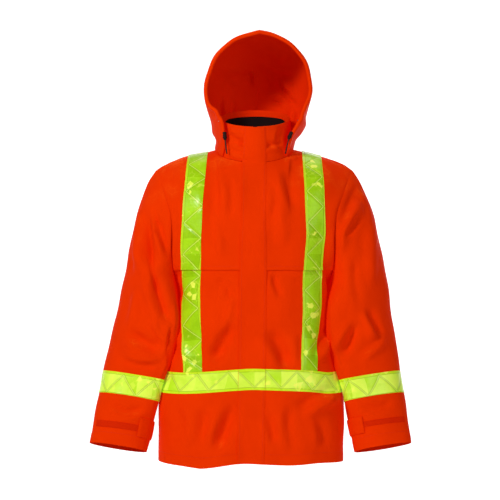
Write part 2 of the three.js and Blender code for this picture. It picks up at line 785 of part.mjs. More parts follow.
// Collar points run round from the zip, by the wearer's left and the back, to the zip
function collarAngles() {
  const quarter = [FLAP_HALF, COLLAR_FRONT_X, COLLAR_SIDE_X].map((x) => Math.asin(x / NECK_HALF));
  const zipEdge = Math.asin(ZIP_HALF / NECK_HALF);
  const half = [zipEdge, ...quarter, Math.PI / 2, ...quarter.map((angle) => Math.PI - angle).reverse()];
  return [...half, Math.PI, ...half.map((angle) => 2 * Math.PI - angle).reverse()];
}

function collarPoint(angle, up) {
  const ahead = Math.cos(angle);
  const aside = Math.sin(angle);
  const front = ahead > 0;
  const baseReach = front ? NECK_FRONT_REACH : NECK_BACK_REACH;
  const topReach = front ? COLLAR_TOP_FRONT_REACH : COLLAR_TOP_BACK_REACH;
  const baseZ = lerp(NECK_SIDE_Z, front ? NECK_FRONT_Z : NECK_BACK_Z, Math.abs(ahead));
  const topZ = lerp(COLLAR_TOP.side, front ? COLLAR_TOP.front : COLLAR_TOP.back, Math.abs(ahead));
  const point = new THREE.Vector3(
    aside * lerp(NECK_HALF, COLLAR_TOP_HALF, up),
    NECK_MID_Y - ahead * lerp(baseReach, topReach, up),
    lerp(baseZ, topZ, up),
  );
  point.x += valueAt(LEAN, 'z', point.z, 'shift');
  return point;
}

function collarGrid() {
  const angles = collarAngles();
  return makeGrid(COLLAR_ROWS + 1, angles.length, (row, column) => (
    collarPoint(angles[column], row / COLLAR_ROWS)
  ), 1);
}

// Front strip over the centre: across it in X, up the body and on up the collar
function centreGrid(xs) {
  const rowCount = TOP_ROW + 1 + COLLAR_ROWS;
  return makeGrid(rowCount, xs.length, (row, column) => {
    const x = xs[column];
    const side = x < 0 ? RIGHT : LEFT;
    if (row <= TOP_ROW) {
      const half = row <= ROW_CHEST
        ? levelPoint(Math.abs(x), FRONT, LEVELS[row])
        : upperPoint(Math.abs(x), Math.abs(x), FRONT, (row - ROW_CHEST) / TOP_STEPS);
      half.x *= side;
      return shape(half, FRONT);
    }
    return collarPoint(Math.asin(x / NECK_HALF), (row - TOP_ROW) / COLLAR_ROWS);
  }, 1);
}

// A point on the hood's own seam, just outside the collar
function hoodBase(degrees, side) {
  const angle = THREE.MathUtils.degToRad(degrees);
  const ahead = Math.cos(angle);
  const reach = ahead > 0 ? NECK_FRONT_REACH : NECK_BACK_REACH;
  const farZ = ahead > 0 ? NECK_FRONT_Z : NECK_BACK_Z;
  return new THREE.Vector3(
    side * (NECK_HALF + HOOD_OUT) * Math.sin(angle),
    NECK_MID_Y - (reach + HOOD_OUT) * ahead,
    lerp(NECK_SIDE_Z, farZ, Math.abs(ahead)) + HOOD_UP,
  );
}

function hoodCurves(side) {
  const name = side === RIGHT ? 'rightX' : 'leftX';
  const arches = HOOD_ARCHES.map(({ baseAngle, points }) => [
    hoodBase(baseAngle, side),
    ...points.map((row) => new THREE.Vector3(side * row[name], row.y, row.z)),
  ]);
  arches.push(HOOD_LAST_ANGLES.map((degrees) => hoodBase(degrees, side)));
  return arches.map((points) => new THREE.CatmullRomCurve3(points, false, 'centripetal'));
}

function hoodGrid(side) {
  const curves = hoodCurves(side);
  const rowCount = (curves.length - 1) * HOOD_ROWS_BETWEEN + 1;
  return makeGrid(rowCount, HOOD_COLUMNS + 1, (row, column) => {
    const along = column / HOOD_COLUMNS;
    const through = curves.map((curve) => curve.getPointAt(along));
    const loft = new THREE.CatmullRomCurve3(through, false, 'centripetal');
    const point = loft.getPoint(row / (rowCount - 1));
    point.x += valueAt(HOOD_LEAN, 'z', point.z, 'shift');
    return point;
  }, side);
}

const jacket = new THREE.Group();

function addPiece(name, geometry, finish) {
  const mesh = new THREE.Mesh(geometry, new THREE.MeshStandardMaterial(finish));
  mesh.name = name;
  jacket.add(mesh);
}

function addWall(name, grid) {
  addPiece(name, wall(pullBack(grid), 0, -SHELL_WALL), SHELL);
}

// What lies on a panel is made from the panel's own points, moved out
function addLaid(name, grid, thickness, finish, base = LAY_GAP) {
  addPiece(name, wall(pullBack(grid), base + thickness, base), finish);
}

const SIDES = [[RIGHT, 'right'], [LEFT, 'left']];

// Body and sleeves, with shared seams
const fronts = new Map(SIDES.map(([side]) => [side, bodyGrid(FRONT, side)]));
const back = backGrid();
const sleeves = new Map(SIDES.map(([side]) => [side, sleeveGrid(side)]));
const shellGrids = [...fronts.values(), back, ...sleeves.values()];
joinNormals(shellGrids);

function fromEdge(side) {
  return (column) => (side === RIGHT ? column : COLUMN_END - column);
}
SIDES.forEach(([side]) => {
  fronts.set(side, foldBody(fronts.get(side), FRONT, fromEdge(side)));
  sleeves.set(side, foldSleeve(sleeves.get(side), side));
});
const foldedBack = foldBody(back, BACK, (column) => Math.min(column, 2 * COLUMN_END - column));
const folded = [...fronts.values(), foldedBack, ...sleeves.values()];
joinNormals(folded);

const wholeWidth = [0, 2 * COLUMN_END];
addWall('back_lower', cutGrid(foldedBack, [0, ROW_YOKE], wholeWidth));
addWall('back_upper', cutGrid(foldedBack, [ROW_YOKE, TOP_ROW], wholeWidth));
SIDES.forEach(([side, word]) => {
  const whole = fronts.get(side);
  const lower = cutGrid(whole, [0, ROW_TUCK], [0, COLUMN_END]);
  addWall(`front_lower_${word}`, lower);
  const yoke = raise(cutGrid(whole, [ROW_YOKE, TOP_ROW], [0, COLUMN_END]), yokeLift);
  addWall(`front_yoke_${word}`, freeAtArmhole(yoke, side));

  const tapeColumns = side === RIGHT
    ? [COLUMN_END - COLUMN_TAPE_OUT, COLUMN_END - COLUMN_TAPE_IN]
    : [COLUMN_TAPE_IN, COLUMN_TAPE_OUT];
  const tapeOnYoke = cutGrid(yoke, [0, TOP_ROW - ROW_YOKE], tapeColumns);
  addLaid(`tape_chest_${word}`, tapeOnYoke, TAPE_WALL, TAPE);
  const tapeBelow = cutGrid(whole, [ROW_BELT_TOP, ROW_YOKE], tapeColumns);
  addLaid(`tape_front_${word}`, tapeBelow, TAPE_WALL, TAPE);
  const backColumns = side === RIGHT
    ? [COLUMN_END - COLUMN_TAPE_OUT, COLUMN_END - COLUMN_TAPE_IN]
    : [COLUMN_END + COLUMN_TAPE_IN, COLUMN_END + COLUMN_TAPE_OUT];
  const tapeBack = cutGrid(foldedBack, [ROW_BELT_TOP, TOP_ROW], backColumns);
  addLaid(`tape_back_${word}`, tapeBack, TAPE_WALL, TAPE);

  const beltColumns = side === RIGHT ? [0, COLUMN_END - 1] : [1, COLUMN_END];
  const belt = cutGrid(whole, [ROW_BELT_BOTTOM, ROW_BELT_TOP], beltColumns);
  addLaid(`belt_front_${word}`, belt, TAPE_WALL, TAPE);
});

const beltBack = cutGrid(foldedBack, [ROW_BELT_BOTTOM, ROW_BELT_TOP], wholeWidth);
addLaid('belt_back', beltBack, TAPE_WALL, TAPE);

// Zip and storm flap down the centre front
const zip = centreGrid([-ZIP_HALF, ZIP_HALF]);
joinNormals([zip]);
addPiece('front_zip', wall(pullBack(zip, ZIP_SIDE_GAP), 0, -SHELL_WALL), ZIP);

const flapXs = [-FLAP_HALF, -ZIP_HALF, ZIP_HALF, FLAP_HALF];
const flapBase = centreGrid(flapXs);
joinNormals([flapBase]);
const flap = raise(flapBase, flapLift);
addLaid('storm_flap', flap, SHELL_WALL, SHELL);
const beltFlap = cutGrid(flap, [ROW_BELT_BOTTOM, ROW_BELT_TOP], [0, flapXs.length - 1]);
addLaid('belt_flap', beltFlap, TAPE_WALL, TAPE, 2 * LAY_GAP + SHELL_WALL);

// Sleeves with their bands
SIDES.forEach(([side, word]) => {
  const sleeve = sleeves.get(side);
  addWall(`sleeve_${word}`, sleeve);
  const bandRows = BAND_PLACES.map((place) => CAP_STEPS + 1 + place);
  const band = { ...cutGrid(sleeve, bandRows, [0, sleeve.points[0].length - 1]), closed: true };
  addLaid(`sleeve_band_${word}`, band, TAPE_WALL, TAPE);
  const strip = cutSleeve(sleeve, STRIP_PLACES, STRIP_ANGLES);
  addLaid(`loop_strip_${word}`, strip, STRIP_WALL, STRIP);
  const tab = cutSleeve(sleeve, TAB_PLACES, TAB_ANGLES);
  addLaid(`cuff_tab_${word}`, tab, SHELL_WALL, SHELL);
});

// Collar, its black lining and the hood
const collar = collarGrid();
joinNormals([collar]);
collar.points[0].forEach((point) => { point.z += COLLAR_LIFT; });
addWall('collar', collar);

const liningAngles = collarAngles().filter((angle) => (
  angle > LINING_FROM_ANGLE && angle < 2 * Math.PI - LINING_FROM_ANGLE
));
const lining = makeGrid(2, liningAngles.length, (row, column) => (
  collarPoint(liningAngles[column], row * LINING_TOP_SHARE)
), 1);
joinNormals([lining]);
lining.points[0].forEach((point) => { point.z += COLLAR_LIFT; });
const liningDepth = SHELL_WALL + 2 * LAY_GAP;
addPiece('neck_lining', wall(lining, -liningDepth, -liningDepth - LINING_WALL), LINING);

const hoods = new Map(SIDES.map(([side]) => [side, hoodGrid(side)]));
joinNormals([...hoods.values()]);
SIDES.forEach(([side, word]) => addWall(`hood_${word}`, hoods.get(side)));

// A smooth ring threaded on a cord, with its hole along the cord
function addRing(name, curve, ring, finish) {
  const rim = Math.min(ring.radius - ring.bore, ring.half) * ring.soft;
  const profile = [
    [ring.bore, -ring.half],
    [ring.radius - rim, -ring.half],
    [ring.radius, -ring.half + rim],
    [ring.radius, ring.half - rim],
    [ring.radius - rim, ring.half],
    [ring.bore, ring.half],
    [ring.bore, -ring.half],
  ].map(([x, y]) => new THREE.Vector2(x, y));
  const geometry = new THREE.LatheGeometry(profile, ring.segments);
  const up = new THREE.Vector3(0, 1, 0);
  geometry.applyQuaternion(new THREE.Quaternion().setFromUnitVectors(up, curve.getTangentAt(ring.at)));
  geometry.translate(...curve.getPointAt(ring.at).toArray());
  addPiece(name, geometry, finish);
}

SIDES.forEach(([side, word]) => {
  const points = CORD_POINTS.filter((row) => row.side === side).map((row) => (
    new THREE.Vector3(row.x + valueAt(HOOD_LEAN, 'z', row.z, 'shift'), row.y, row.z)
  ));
  const curve = new THREE.CatmullRomCurve3(points, false, 'centripetal');
  const section = new THREE.Shape(Array.from({ length: CORD_SIDES }, (_, k) => {
    const angle = 2 * Math.PI * k / CORD_SIDES;
    return new THREE.Vector2(CORD_RADIUS * Math.cos(angle), CORD_RADIUS * Math.sin(angle));
  }));
  const tube = { steps: CORD_STEPS, bevelEnabled: false, extrudePath: curve };
  addPiece(`hood_cord_${word}`, new THREE.ExtrudeGeometry(section, tube), CORD);
  addRing(`cord_lock_${word}`, curve, LOCK, LOCK_PLASTIC);
  addRing(`cord_eyelet_${word}`, curve, EYELET, PLATED_METAL);
});

export default jacket;
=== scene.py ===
# %% [markdown]
# # A hooded hi-vis work jacket
# The real thing is a rain jacket of coated polyester in fluorescent red-orange, with welded
# lime tape on chest, waist and sleeves, shown filled out with no wearer. Each cloth piece is
# made here as a thin closed shell on its own fine grid of points, because a grid follows a
# garment's rows and seams and takes folds as plain offsets. Cloth simulation would be another
# way, but the jacket has to keep the outline of the photograph, so its folds are placed one by one.

# %% Load the frame
import math
import bpy
import numpy as np
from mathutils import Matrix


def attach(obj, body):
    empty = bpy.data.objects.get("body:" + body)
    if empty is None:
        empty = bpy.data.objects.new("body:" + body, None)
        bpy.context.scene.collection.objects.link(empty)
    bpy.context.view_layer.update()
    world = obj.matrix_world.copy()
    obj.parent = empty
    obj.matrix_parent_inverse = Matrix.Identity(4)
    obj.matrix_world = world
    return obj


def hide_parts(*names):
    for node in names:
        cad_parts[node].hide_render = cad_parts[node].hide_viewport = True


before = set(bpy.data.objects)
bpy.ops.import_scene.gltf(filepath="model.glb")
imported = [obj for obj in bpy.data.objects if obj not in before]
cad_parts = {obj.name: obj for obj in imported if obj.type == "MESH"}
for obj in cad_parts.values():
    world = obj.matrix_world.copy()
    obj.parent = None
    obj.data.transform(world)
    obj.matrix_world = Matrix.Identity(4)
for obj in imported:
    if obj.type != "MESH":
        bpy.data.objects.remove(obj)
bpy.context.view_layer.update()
MM = 0.001

# %% [markdown]
# ## Camera
# The photograph looks level at the middle of the jacket from far away. One pixel is 2.31 mm
# at the neck's depth, so 500 pixels see 1.155 m from 4 m off, which sets the lens. The
# Standard view keeps the dye as pure as the photograph shows it, where the default view
# would bleach a fluorescent red.

# %% Camera
PIXEL = 2.31
VIEW_DISTANCE = 4.0
VIEW_X, VIEW_Z = -0.0058, -0.231
camera_data = bpy.data.cameras.new("camera")
camera_data.sensor_width = 36
camera_data.lens = 36 * VIEW_DISTANCE / (500 * PIXEL * MM)
camera = bpy.data.objects.new("camera", camera_data)
camera.location = (VIEW_X, -VIEW_DISTANCE, VIEW_Z)
camera.rotation_euler = (math.radians(90), 0, 0)
bpy.context.scene.collection.objects.link(camera)
bpy.context.scene.camera = camera
bpy.context.scene.view_settings.view_transform = "Standard"
print("lens", round(camera_data.lens, 1), "mm")


# %% [markdown]
# ## Smooth curves through points
# Every line of the jacket comes from a few measured points. A Hermite curve through a table's
# column, and a centripetal Catmull-Rom curve through points in space, never swing wide between
# them, which a plain polynomial would.

# %% Curves
def lerp(a, b, t):
    return a + (b - a) * t


def smoothstep(start, end, value):
    t = np.clip((value - start) / (end - start), 0, 1)
    return t * t * (3 - 2 * t)


def hermite(a, tangent_a, b, tangent_b, t):
    t2, t3 = t * t, t * t * t
    return ((2 * t3 - 3 * t2 + 1) * a + (t3 - 2 * t2 + t) * tangent_a
            + (3 * t2 - 2 * t3) * b + (t3 - t2) * tangent_b)


def table(names, rows):
    columns = np.array(rows, float).T
    return dict(zip(names.split(), columns))


def value_at(rows, key, at, column):
    x, y = rows[key], rows[column]
    last = len(x) - 1
    at = np.clip(at, x[0], x[last])
    i = np.clip(np.searchsorted(x, at, side="right") - 1, 0, last - 1)
    before = np.maximum(np.arange(last + 1) - 1, 0)
    after = np.minimum(np.arange(last + 1) + 1, last)
    slope = (y[after] - y[before]) / (x[after] - x[before])
    span = x[i + 1] - x[i]
    return hermite(y[i], slope[i] * span, y[i + 1], slope[i + 1] * span, (at - x[i]) / span)


def through(points, ts):
    """Points at the shares ts of a centripetal curve through points."""
    p = np.vstack([2 * points[0] - points[1], points, 2 * points[-1] - points[-2]])
    place = np.clip(np.asarray(ts, float), 0, 1) * (len(points) - 1)
    i = np.minimum(place.astype(int), len(points) - 2)
    t = (place - i)[:, None]
    p0, p1, p2, p3 = p[i], p[i + 1], p[i + 2], p[i + 3]
    d0, d1, d2 = (np.sqrt(np.linalg.norm(b - a, axis=1))[:, None]
                  for a, b in ((p0, p1), (p1, p2), (p2, p3)))
    leave = (p1 - p0) / d0 - (p2 - p0) / (d0 + d1) + (p2 - p1) / d1
    arrive = (p2 - p1) / d1 - (p3 - p1) / (d1 + d2) + (p3 - p2) / d2
    return hermite(p1, leave * d1, p2, arrive * d1, t)


def evenly(points, ts):
    """As through, but in even steps of the curve's own length."""
    fine = np.linspace(0, 1, 201)
    lengths = np.r_[0, np.cumsum(np.linalg.norm(np.diff(through(points, fine), axis=0), axis=1))]
    return through(points, np.interp(np.asarray(ts) * lengths[-1], lengths, fine))


print("halfway between 0 and 1:", smoothstep(0, 1, 0.5))

# %% [markdown]
# ## Drawcords
# A limp braided cord, 3 mm thick, leaves an eyelet on each side of the hood, runs down the
# cheek through a barrel lock and ends free on the collar. A curve with a round bevel would do
# for a smooth lead, but a braid needs raised strands, so the tube is made of its own rings.
# Its route is the one that the CAD model uses.

# %% Routes of the drawcords
RIGHT, LEFT, FRONT, BACK = -1, 1, -1, 1
SIDES = ((RIGHT, "right"), (LEFT, "left"))
HOOD_LEAN = table("z shift", [[-20, 3.5], [25, 5], [60, 11], [100, 12], [275, 16]])
CORD_DIAMETER = 3.0
CORD_POINTS = {
    "right": [[-86.8, -58, 66], [-75, -63, 46], [-68, -67, 26], [-65, -70, 8], [-62, -75, -12]],
    "left": [[95.5, -58, 66], [87, -63, 46], [79, -67, 26], [75, -70, 8], [71, -75, -12]],
}
CORD_RINGS, CORD_SIDES = 90, 14
cords, cord_routes = {}, {}


def cord_tube(name, route):
    """A tube along the route, with the raised strands of a braid crossing both ways."""
    shares = np.linspace(0, 1, CORD_RINGS)
    line = evenly(route, shares)
    ways = np.gradient(line, axis=0)
    ways /= np.linalg.norm(ways, axis=1, keepdims=True)
    aside = np.cross(ways, [0.0, 1.0, 0.0])
    aside /= np.linalg.norm(aside, axis=1, keepdims=True)
    other = np.cross(ways, aside)
    turns = np.linspace(0, 2 * math.pi, CORD_SIDES, endpoint=False)
    strands = np.cos(3 * turns[None] + shares[:, None] * 95) * np.cos(3 * turns[None]
                                                                    - shares[:, None] * 95)
    radius = CORD_DIAMETER / 2 + 0.09 * strands - 0.06
    verts = line[:, None] + radius[..., None] * (np.cos(turns)[None, :, None] * aside[:, None]
                                                 + np.sin(turns)[None, :, None] * other[:, None])
    ids = np.arange(CORD_RINGS * CORD_SIDES).reshape(CORD_RINGS, CORD_SIDES)
    nxt = np.roll(ids, -1, 1)
    faces = np.stack([ids[:-1], nxt[:-1], nxt[1:], ids[1:]], -1).reshape(-1, 4).tolist()
    faces += [ids[0][::-1].tolist(), ids[-1].tolist()]
    mesh = bpy.data.meshes.new(name)
    mesh.from_pydata((verts.reshape(-1, 3) * MM).tolist(), [], faces)
    mesh.update()
    mesh.shade_smooth()
    tube = bpy.data.objects.new(name, mesh)
    bpy.context.scene.collection.objects.link(tube)
    return tube


for word, rows in CORD_POINTS.items():
    points = np.array(rows, float)
    points[:, 0] += value_at(HOOD_LEAN, "z", points[:, 2], "shift")
    cord_routes[word] = points
    cords[word] = cord_tube(f"drawcord_{word}", points)
    line = evenly(points, np.linspace(0, 1, 25)) * MM
    length = float(np.linalg.norm(np.diff(line, axis=0), axis=1).sum())
    print(cords[word].name, "length", round(length, 4), "m")

# %% [markdown]
# ## The jacket's own sizes
# These tables are in millimetres, with the neck's middle as the origin. A torso section is a
# rounded square that changes with height, the armhole is a loop on its side, and each sleeve
# is a row of tilted ovals. They are the same sizes that the CAD model is built from, so the
# dressed cloth lies where its solids are.

# %% Sizes of body, armholes and tape
ZIP_HALF, FLAP_HALF, NECK_HALF, NECK_MID_Y = 5, 30, 88, 4
NECK_FRONT_REACH, NECK_BACK_REACH = 88, 68
NECK_FRONT_Z, NECK_BACK_Z, NECK_SIDE_Z = -33, 10, 1
HEM_Z, BELT_BOTTOM_Z, BELT_TOP_Z, UNDERARM_Z = -714, -556, -508, -300
YOKE_EDGE_Z, TUCK_TOP_Z, CHEST_Z = -276, -230, -200
SHOULDER_POINT = np.array([226.0, 4.0, -45.0])
YOKE_LIFT, YOKE_LIFT_END_Z, YOKE_SIDE_SHARE, FLAP_LIFT_START_Z = 2.6, -150, 1.7, -340
TORSO_ROUND, CURVE_HANDLE = 2.6, 0.38
TORSO = table("z halfWidth front back", [
    [-714, 213, 121, 108], [-640, 214, 122, 108], [-566, 213, 123, 107],
    [-510, 198.5, 123, 105], [-470, 187, 122, 104], [-430, 177, 121, 104],
    [-380, 173, 120, 106], [-330, 175, 119, 108], [-300, 178, 119, 110],
    [-250, 190, 120, 113], [-200, 204, 120, 115]])
ARMHOLE = table("z x front back turn drop", [
    [-300, 178, 0, 0, 90, 0], [-288, 180, -28, 28, 85, 0], [-276, 181.5, -44, 42, 80, 0],
    [-255, 184, -60, 56, 72, 0], [-230, 185, -71, 66, 65, 0], [-200, 185, -78, 72, 60, 0.05],
    [-150, 189, -78, 75, 50, 0.1], [-115, 200, -64, 66, 38, 0.25],
    [-80, 213, -36, 44, 20, 0.45], [-57, 221, -14, 22, 8, 0.6], [-45, 226, 4, 4, 0, 0.7]])
SHOULDER_SEAM = table("x z", [[88, 1], [150, -13], [205, -30], [226, -45]])
TAPE_COURSE = table("z rightIn rightOut leftIn leftOut", [
    [-714, 112, 154, 108, 147], [-505, 112, 154, 110, 148], [-346, 118, 163, 113, 154],
    [-277, 117, 162, 112, 154], [-187, 116, 162, 118, 163], [-115, 111, 157, 114, 160],
    [-20, 107, 152, 109, 154]])
LEAN = table("z shift", [[-714, -4.5], [-400, 0], [-100, 3], [60, 6], [275, 11.5]])
HEM_WAVE = table("x lower", [
    [-213, 0], [-145, 5], [-112, 9], [-20, -3], [88, 1], [150, -2], [213, 0]])
HEM_WAVE_HEIGHT = 120
WAIST_RISE = table("x rise", [
    [-178, 0], [-159, 0.5], [-115, 3], [-40, 9], [0, 11.4], [50, 10], [108, 7.5], [150, 4],
    [178, 0]])
WAIST_RISE_SIDES, WAIST_RISE_STARTS, WAIST_RISE_FULL = (178, 140), (-650, -430), (-566, -500)
print("rows in the torso table:", len(TORSO["z"]))

# %% Sizes of sleeves, collar and hood
SLEEVE = table("s rightX leftX outerZ innerX innerZ y halfDepth ahead tilt", [
    [0, 283, 292, -215, 175, -338, 0, 76, -16, 0],
    [1, 298, 307, -290, 172.5, -380, 4, 74, -36, 0.02],
    [2, 309, 318, -350, 175.5, -420, 9, 71, -44, 0.03],
    [3, 322, 326, -405, 183.5, -458, 11, 67, -46, 0.05],
    [4, 333, 336, -458, 194, -494, 7, 62, -42, 0.1],
    [5, 342, 342, -510, 207, -533, -3, 56, -34, 0.15],
    [6, 347, 347, -535, 213.5, -558, -9, 53, -30, 0.18],
    [7, 351.5, 351.5, -560, 216.5, -583, -15, 51, -24, 0.2],
    [8, 357, 356, -600, 221.5, -622, -28, 46, -10, 0.22],
    [9, 362, 361, -638, 228, -657, -38, 41, 0, 0.24],
    [10, 366.5, 364.5, -671.5, 237, -692, -47, 37, 0, 0.25]])
CAP_STEPS, CAP_OUTWARD, CAP_DOWNWARD, CAP_FULLNESS = 5, 0.8, 0.6, 0.5
SLEEVE_RINGS = {RIGHT: [0, 1, 2, 3, 4, 5, 6, 7, 8.1, 8.55, 8.95, 9.25, 10],
                LEFT: [0, 1, 2, 3, 4, 5, 6, 7, 8.02, 8.35, 8.68, 9.02, 10]}
BAND_PLACES, TAB_PLACES, STRIP_PLACES = (5, 7), (8, 11), (9, 10)
COLLAR_TOP = {"front": 47, "side": 74, "back": 96}
COLLAR_TOP_HALF, COLLAR_TOP_FRONT_REACH, COLLAR_TOP_BACK_REACH = 81, 92, 62
HOOD_OUT, HOOD_UP = 2.6, 2.2
HOOD_ARCHES = [
    (53, [[70, 82, -61, 8], [77, 91, -66, 38], [88, 99, -64, 65], [106, 109, -58, 85],
          [120, 120, -52, 112], [123.5, 123.5, -50, 136], [117, 117, -54, 172],
          [103, 103, -64, 206], [79, 79, -75, 233], [43, 43, -83, 255], [0, 0, -88, 266]]),
    (78, [[91, 92, -24, 24], [96, 99, -27, 50], [108, 110, -25, 80], [121, 121, -20, 110],
          [125, 125, -18, 138], [119, 119, -20, 176], [104, 104, -26, 212],
          [78, 78, -32, 240], [40, 40, -36, 262.5], [0, 0, -38, 272]]),
    (98, [[97, 97, 20, 28], [107, 107, 30, 62], [118, 118, 40, 100], [121, 121, 46, 138],
          [114, 114, 50, 178], [97, 97, 53, 213], [72, 72, 56, 240], [38, 38, 58, 256],
          [0, 0, 59, 261]]),
    (116, [[92, 92, 56, 34], [101, 101, 80, 68], [99, 99, 98, 104], [86, 86, 110, 138],
           [62, 62, 119, 164], [32, 32, 124, 178], [0, 0, 126, 182]]),
    (130, [[81, 81, 63, 24], [80, 80, 82, 46], [66, 66, 97, 64], [36, 36, 107, 76],
           [0, 0, 110, 80]]),
]
HOOD_LAST_ANGLES = [140, 150, 160, 170, 180]
print("hood arches:", len(HOOD_ARCHES) + 1)

# %% [markdown]
# ## Points of the torso
# A half body is a net of columns from the centre front to the side seam and rows from hem to
# shoulder. Columns stand where the pattern has its edges: zip, flap, collar, tape. Above the
# chest the columns bend over to the neck and shoulder seam, and at the side they end on the
# armhole.

# %% Rows and columns of the body
LEVELS = [HEM_Z, -690, -650, -605, BELT_BOTTOM_Z, -535, BELT_TOP_Z, -470, -430, -390, -350,
          -320, UNDERARM_Z, YOKE_EDGE_Z, -255, TUCK_TOP_Z, CHEST_Z]
TOP_STEPS = 8
ROW_CHEST = len(LEVELS) - 1
TOP_ROW = ROW_CHEST + TOP_STEPS
ROW_BELT_BOTTOM, ROW_BELT_TOP = LEVELS.index(BELT_BOTTOM_Z), LEVELS.index(BELT_TOP_Z)
ROW_UNDERARM, ROW_YOKE = LEVELS.index(UNDERARM_Z), LEVELS.index(YOKE_EDGE_Z)
ROW_TUCK = LEVELS.index(TUCK_TOP_Z)
COLUMN_TAPE_IN, COLUMN_TAPE_OUT, COLUMN_END = 5, 7, 11


def column_x(column, side, face, z):
    name = "right" if side == RIGHT else "left"
    tape_in = value_at(TAPE_COURSE, "z", z, name + "In")
    tape_out = value_at(TAPE_COURSE, "z", z, name + "Out")
    centre = ZIP_HALF if face == FRONT else 0
    return [centre, FLAP_HALF, 60, 78, NECK_HALF, tape_in, (tape_in + tape_out) / 2,
            tape_out][column]


def level_point(x, face, z):
    half_width = value_at(TORSO, "z", z, "halfWidth")
    depth = value_at(TORSO, "z", z, "front" if face == FRONT else "back")
    y = depth * max(1 - (x / half_width) ** TORSO_ROUND, 0) ** (1 / TORSO_ROUND)
    return np.array([x, face * y, z])


def top_point(x, face):
    if x > NECK_HALF:
        return np.array([x, SHOULDER_POINT[1], value_at(SHOULDER_SEAM, "x", x, "z")])
    along = math.sqrt(max(1 - (x / NECK_HALF) ** 2, 0))
    reach = NECK_FRONT_REACH if face == FRONT else NECK_BACK_REACH
    z = lerp(NECK_SIDE_Z, NECK_FRONT_Z if face == FRONT else NECK_BACK_Z, along)
    return np.array([x, NECK_MID_Y + face * reach * along, z])


def unit(vector):
    return vector / np.linalg.norm(vector)


def upper_point(x, chest_x, face, t):
    below = level_point(chest_x, face, CHEST_Z - 6)
    chest = level_point(chest_x, face, CHEST_Z)
    top = top_point(x, face)
    reach = np.linalg.norm(top - chest) * 1.05
    toward_side = min(x / NECK_HALF, 1) ** 2
    arrive = unit(np.array([0, -face * lerp(0.35, 1, toward_side), lerp(1, 0.14, toward_side)]))
    return hermite(chest, unit(chest - below) * reach, top, arrive * reach, t)


def inner_point(column, side, face, row):
    if row <= ROW_CHEST:
        return level_point(column_x(column, side, face, LEVELS[row]), face, LEVELS[row])
    t = (row - ROW_CHEST) / TOP_STEPS
    top_x = column_x(column, side, face, -20)
    return upper_point(top_x, column_x(column, side, face, CHEST_Z), face, t)


print("rows", TOP_ROW + 1, "columns of a half", COLUMN_END + 1)


# %% Side of the body and its whole grid
def edge_z(row):
    if row <= ROW_CHEST:
        return LEVELS[row]
    t = (row - ROW_CHEST) / TOP_STEPS
    return lerp(CHEST_Z, SHOULDER_POINT[2], 1 - (1 - t) ** 1.5)


def edge_point(face, row):
    z = edge_z(row)
    if row <= ROW_UNDERARM:
        return np.array([value_at(TORSO, "z", z, "halfWidth"), 0, z])
    y = value_at(ARMHOLE, "z", z, "front" if face == FRONT else "back")
    return np.array([value_at(ARMHOLE, "z", z, "x"), y, z])


def side_point(t, side, face, z):
    half_width = value_at(TORSO, "z", z, "halfWidth")
    tape_x = column_x(COLUMN_TAPE_OUT, side, face, z)
    first = math.asin((tape_x / half_width) ** (TORSO_ROUND / 2))
    x = half_width * math.sin(lerp(first, math.pi / 2, t)) ** (2 / TORSO_ROUND)
    return level_point(min(x, half_width), face, z)


def outer_point(column, side, face, row):
    t = (column - COLUMN_TAPE_OUT) / (COLUMN_END - COLUMN_TAPE_OUT)
    if row < ROW_UNDERARM:
        return side_point(t, side, face, LEVELS[row])
    start = inner_point(COLUMN_TAPE_OUT, side, face, row)
    before = inner_point(COLUMN_TAPE_OUT - 1, side, face, row)
    end = edge_point(face, row)
    z = edge_z(row)
    turn = math.radians(value_at(ARMHOLE, "z", z, "turn"))
    drop = value_at(ARMHOLE, "z", z, "drop")
    handle = np.linalg.norm(end - start) * CURVE_HANDLE
    leave = start + unit(start - before) * handle
    arrive = end - unit(np.array([math.cos(turn), -face * math.sin(turn), -drop])) * handle
    return ((1 - t) ** 3 * start + 3 * (1 - t) ** 2 * t * leave
            + 3 * (1 - t) * t * t * arrive + t ** 3 * end)


def shape(point, face):
    if face == FRONT:
        at_hem = 1 - smoothstep(0, HEM_WAVE_HEIGHT, point[2] - HEM_Z)
        at_waist = smoothstep(WAIST_RISE_STARTS[0], WAIST_RISE_FULL[0], point[2]) \
            * (1 - smoothstep(WAIST_RISE_FULL[1], WAIST_RISE_STARTS[1], point[2]))
        inward = smoothstep(*WAIST_RISE_SIDES, abs(point[0]))
        point[2] += value_at(WAIST_RISE, "x", point[0], "rise") * at_waist * inward \
            - value_at(HEM_WAVE, "x", point[0], "lower") * at_hem
    point[0] += value_at(LEAN, "z", point[2], "shift")
    return point


def body_point(column, side, face, row):
    half = (inner_point if column <= COLUMN_TAPE_OUT else outer_point)(column, side, face, row)
    half = np.array(half, float)
    half[0] *= side
    return shape(half, face)


def body_net(face, side):
    order = range(COLUMN_END, -1, -1) if side == RIGHT else range(COLUMN_END + 1)
    return np.array([[body_point(c, side, face, r) for c in order] for r in range(TOP_ROW + 1)])


nets = {(face, side): body_net(face, side) for face in (FRONT, BACK) for side in (RIGHT, LEFT)}
back_net = np.concatenate([nets[BACK, RIGHT], nets[BACK, LEFT][:, 1:]], 1)
print("back net", back_net.shape, "width at the hem", round(float(np.ptp(back_net[0, :, 0]))), "mm")

# %% [markdown]
# ## Points of sleeve, collar and hood
# The sleeve's cap is a smooth bridge from the armhole loop to the first oval, the collar is a
# short cone with a higher back, and the hood is a loft through arches. Each could be
# sculpted, but formulas keep their seams exactly on the body's edge.

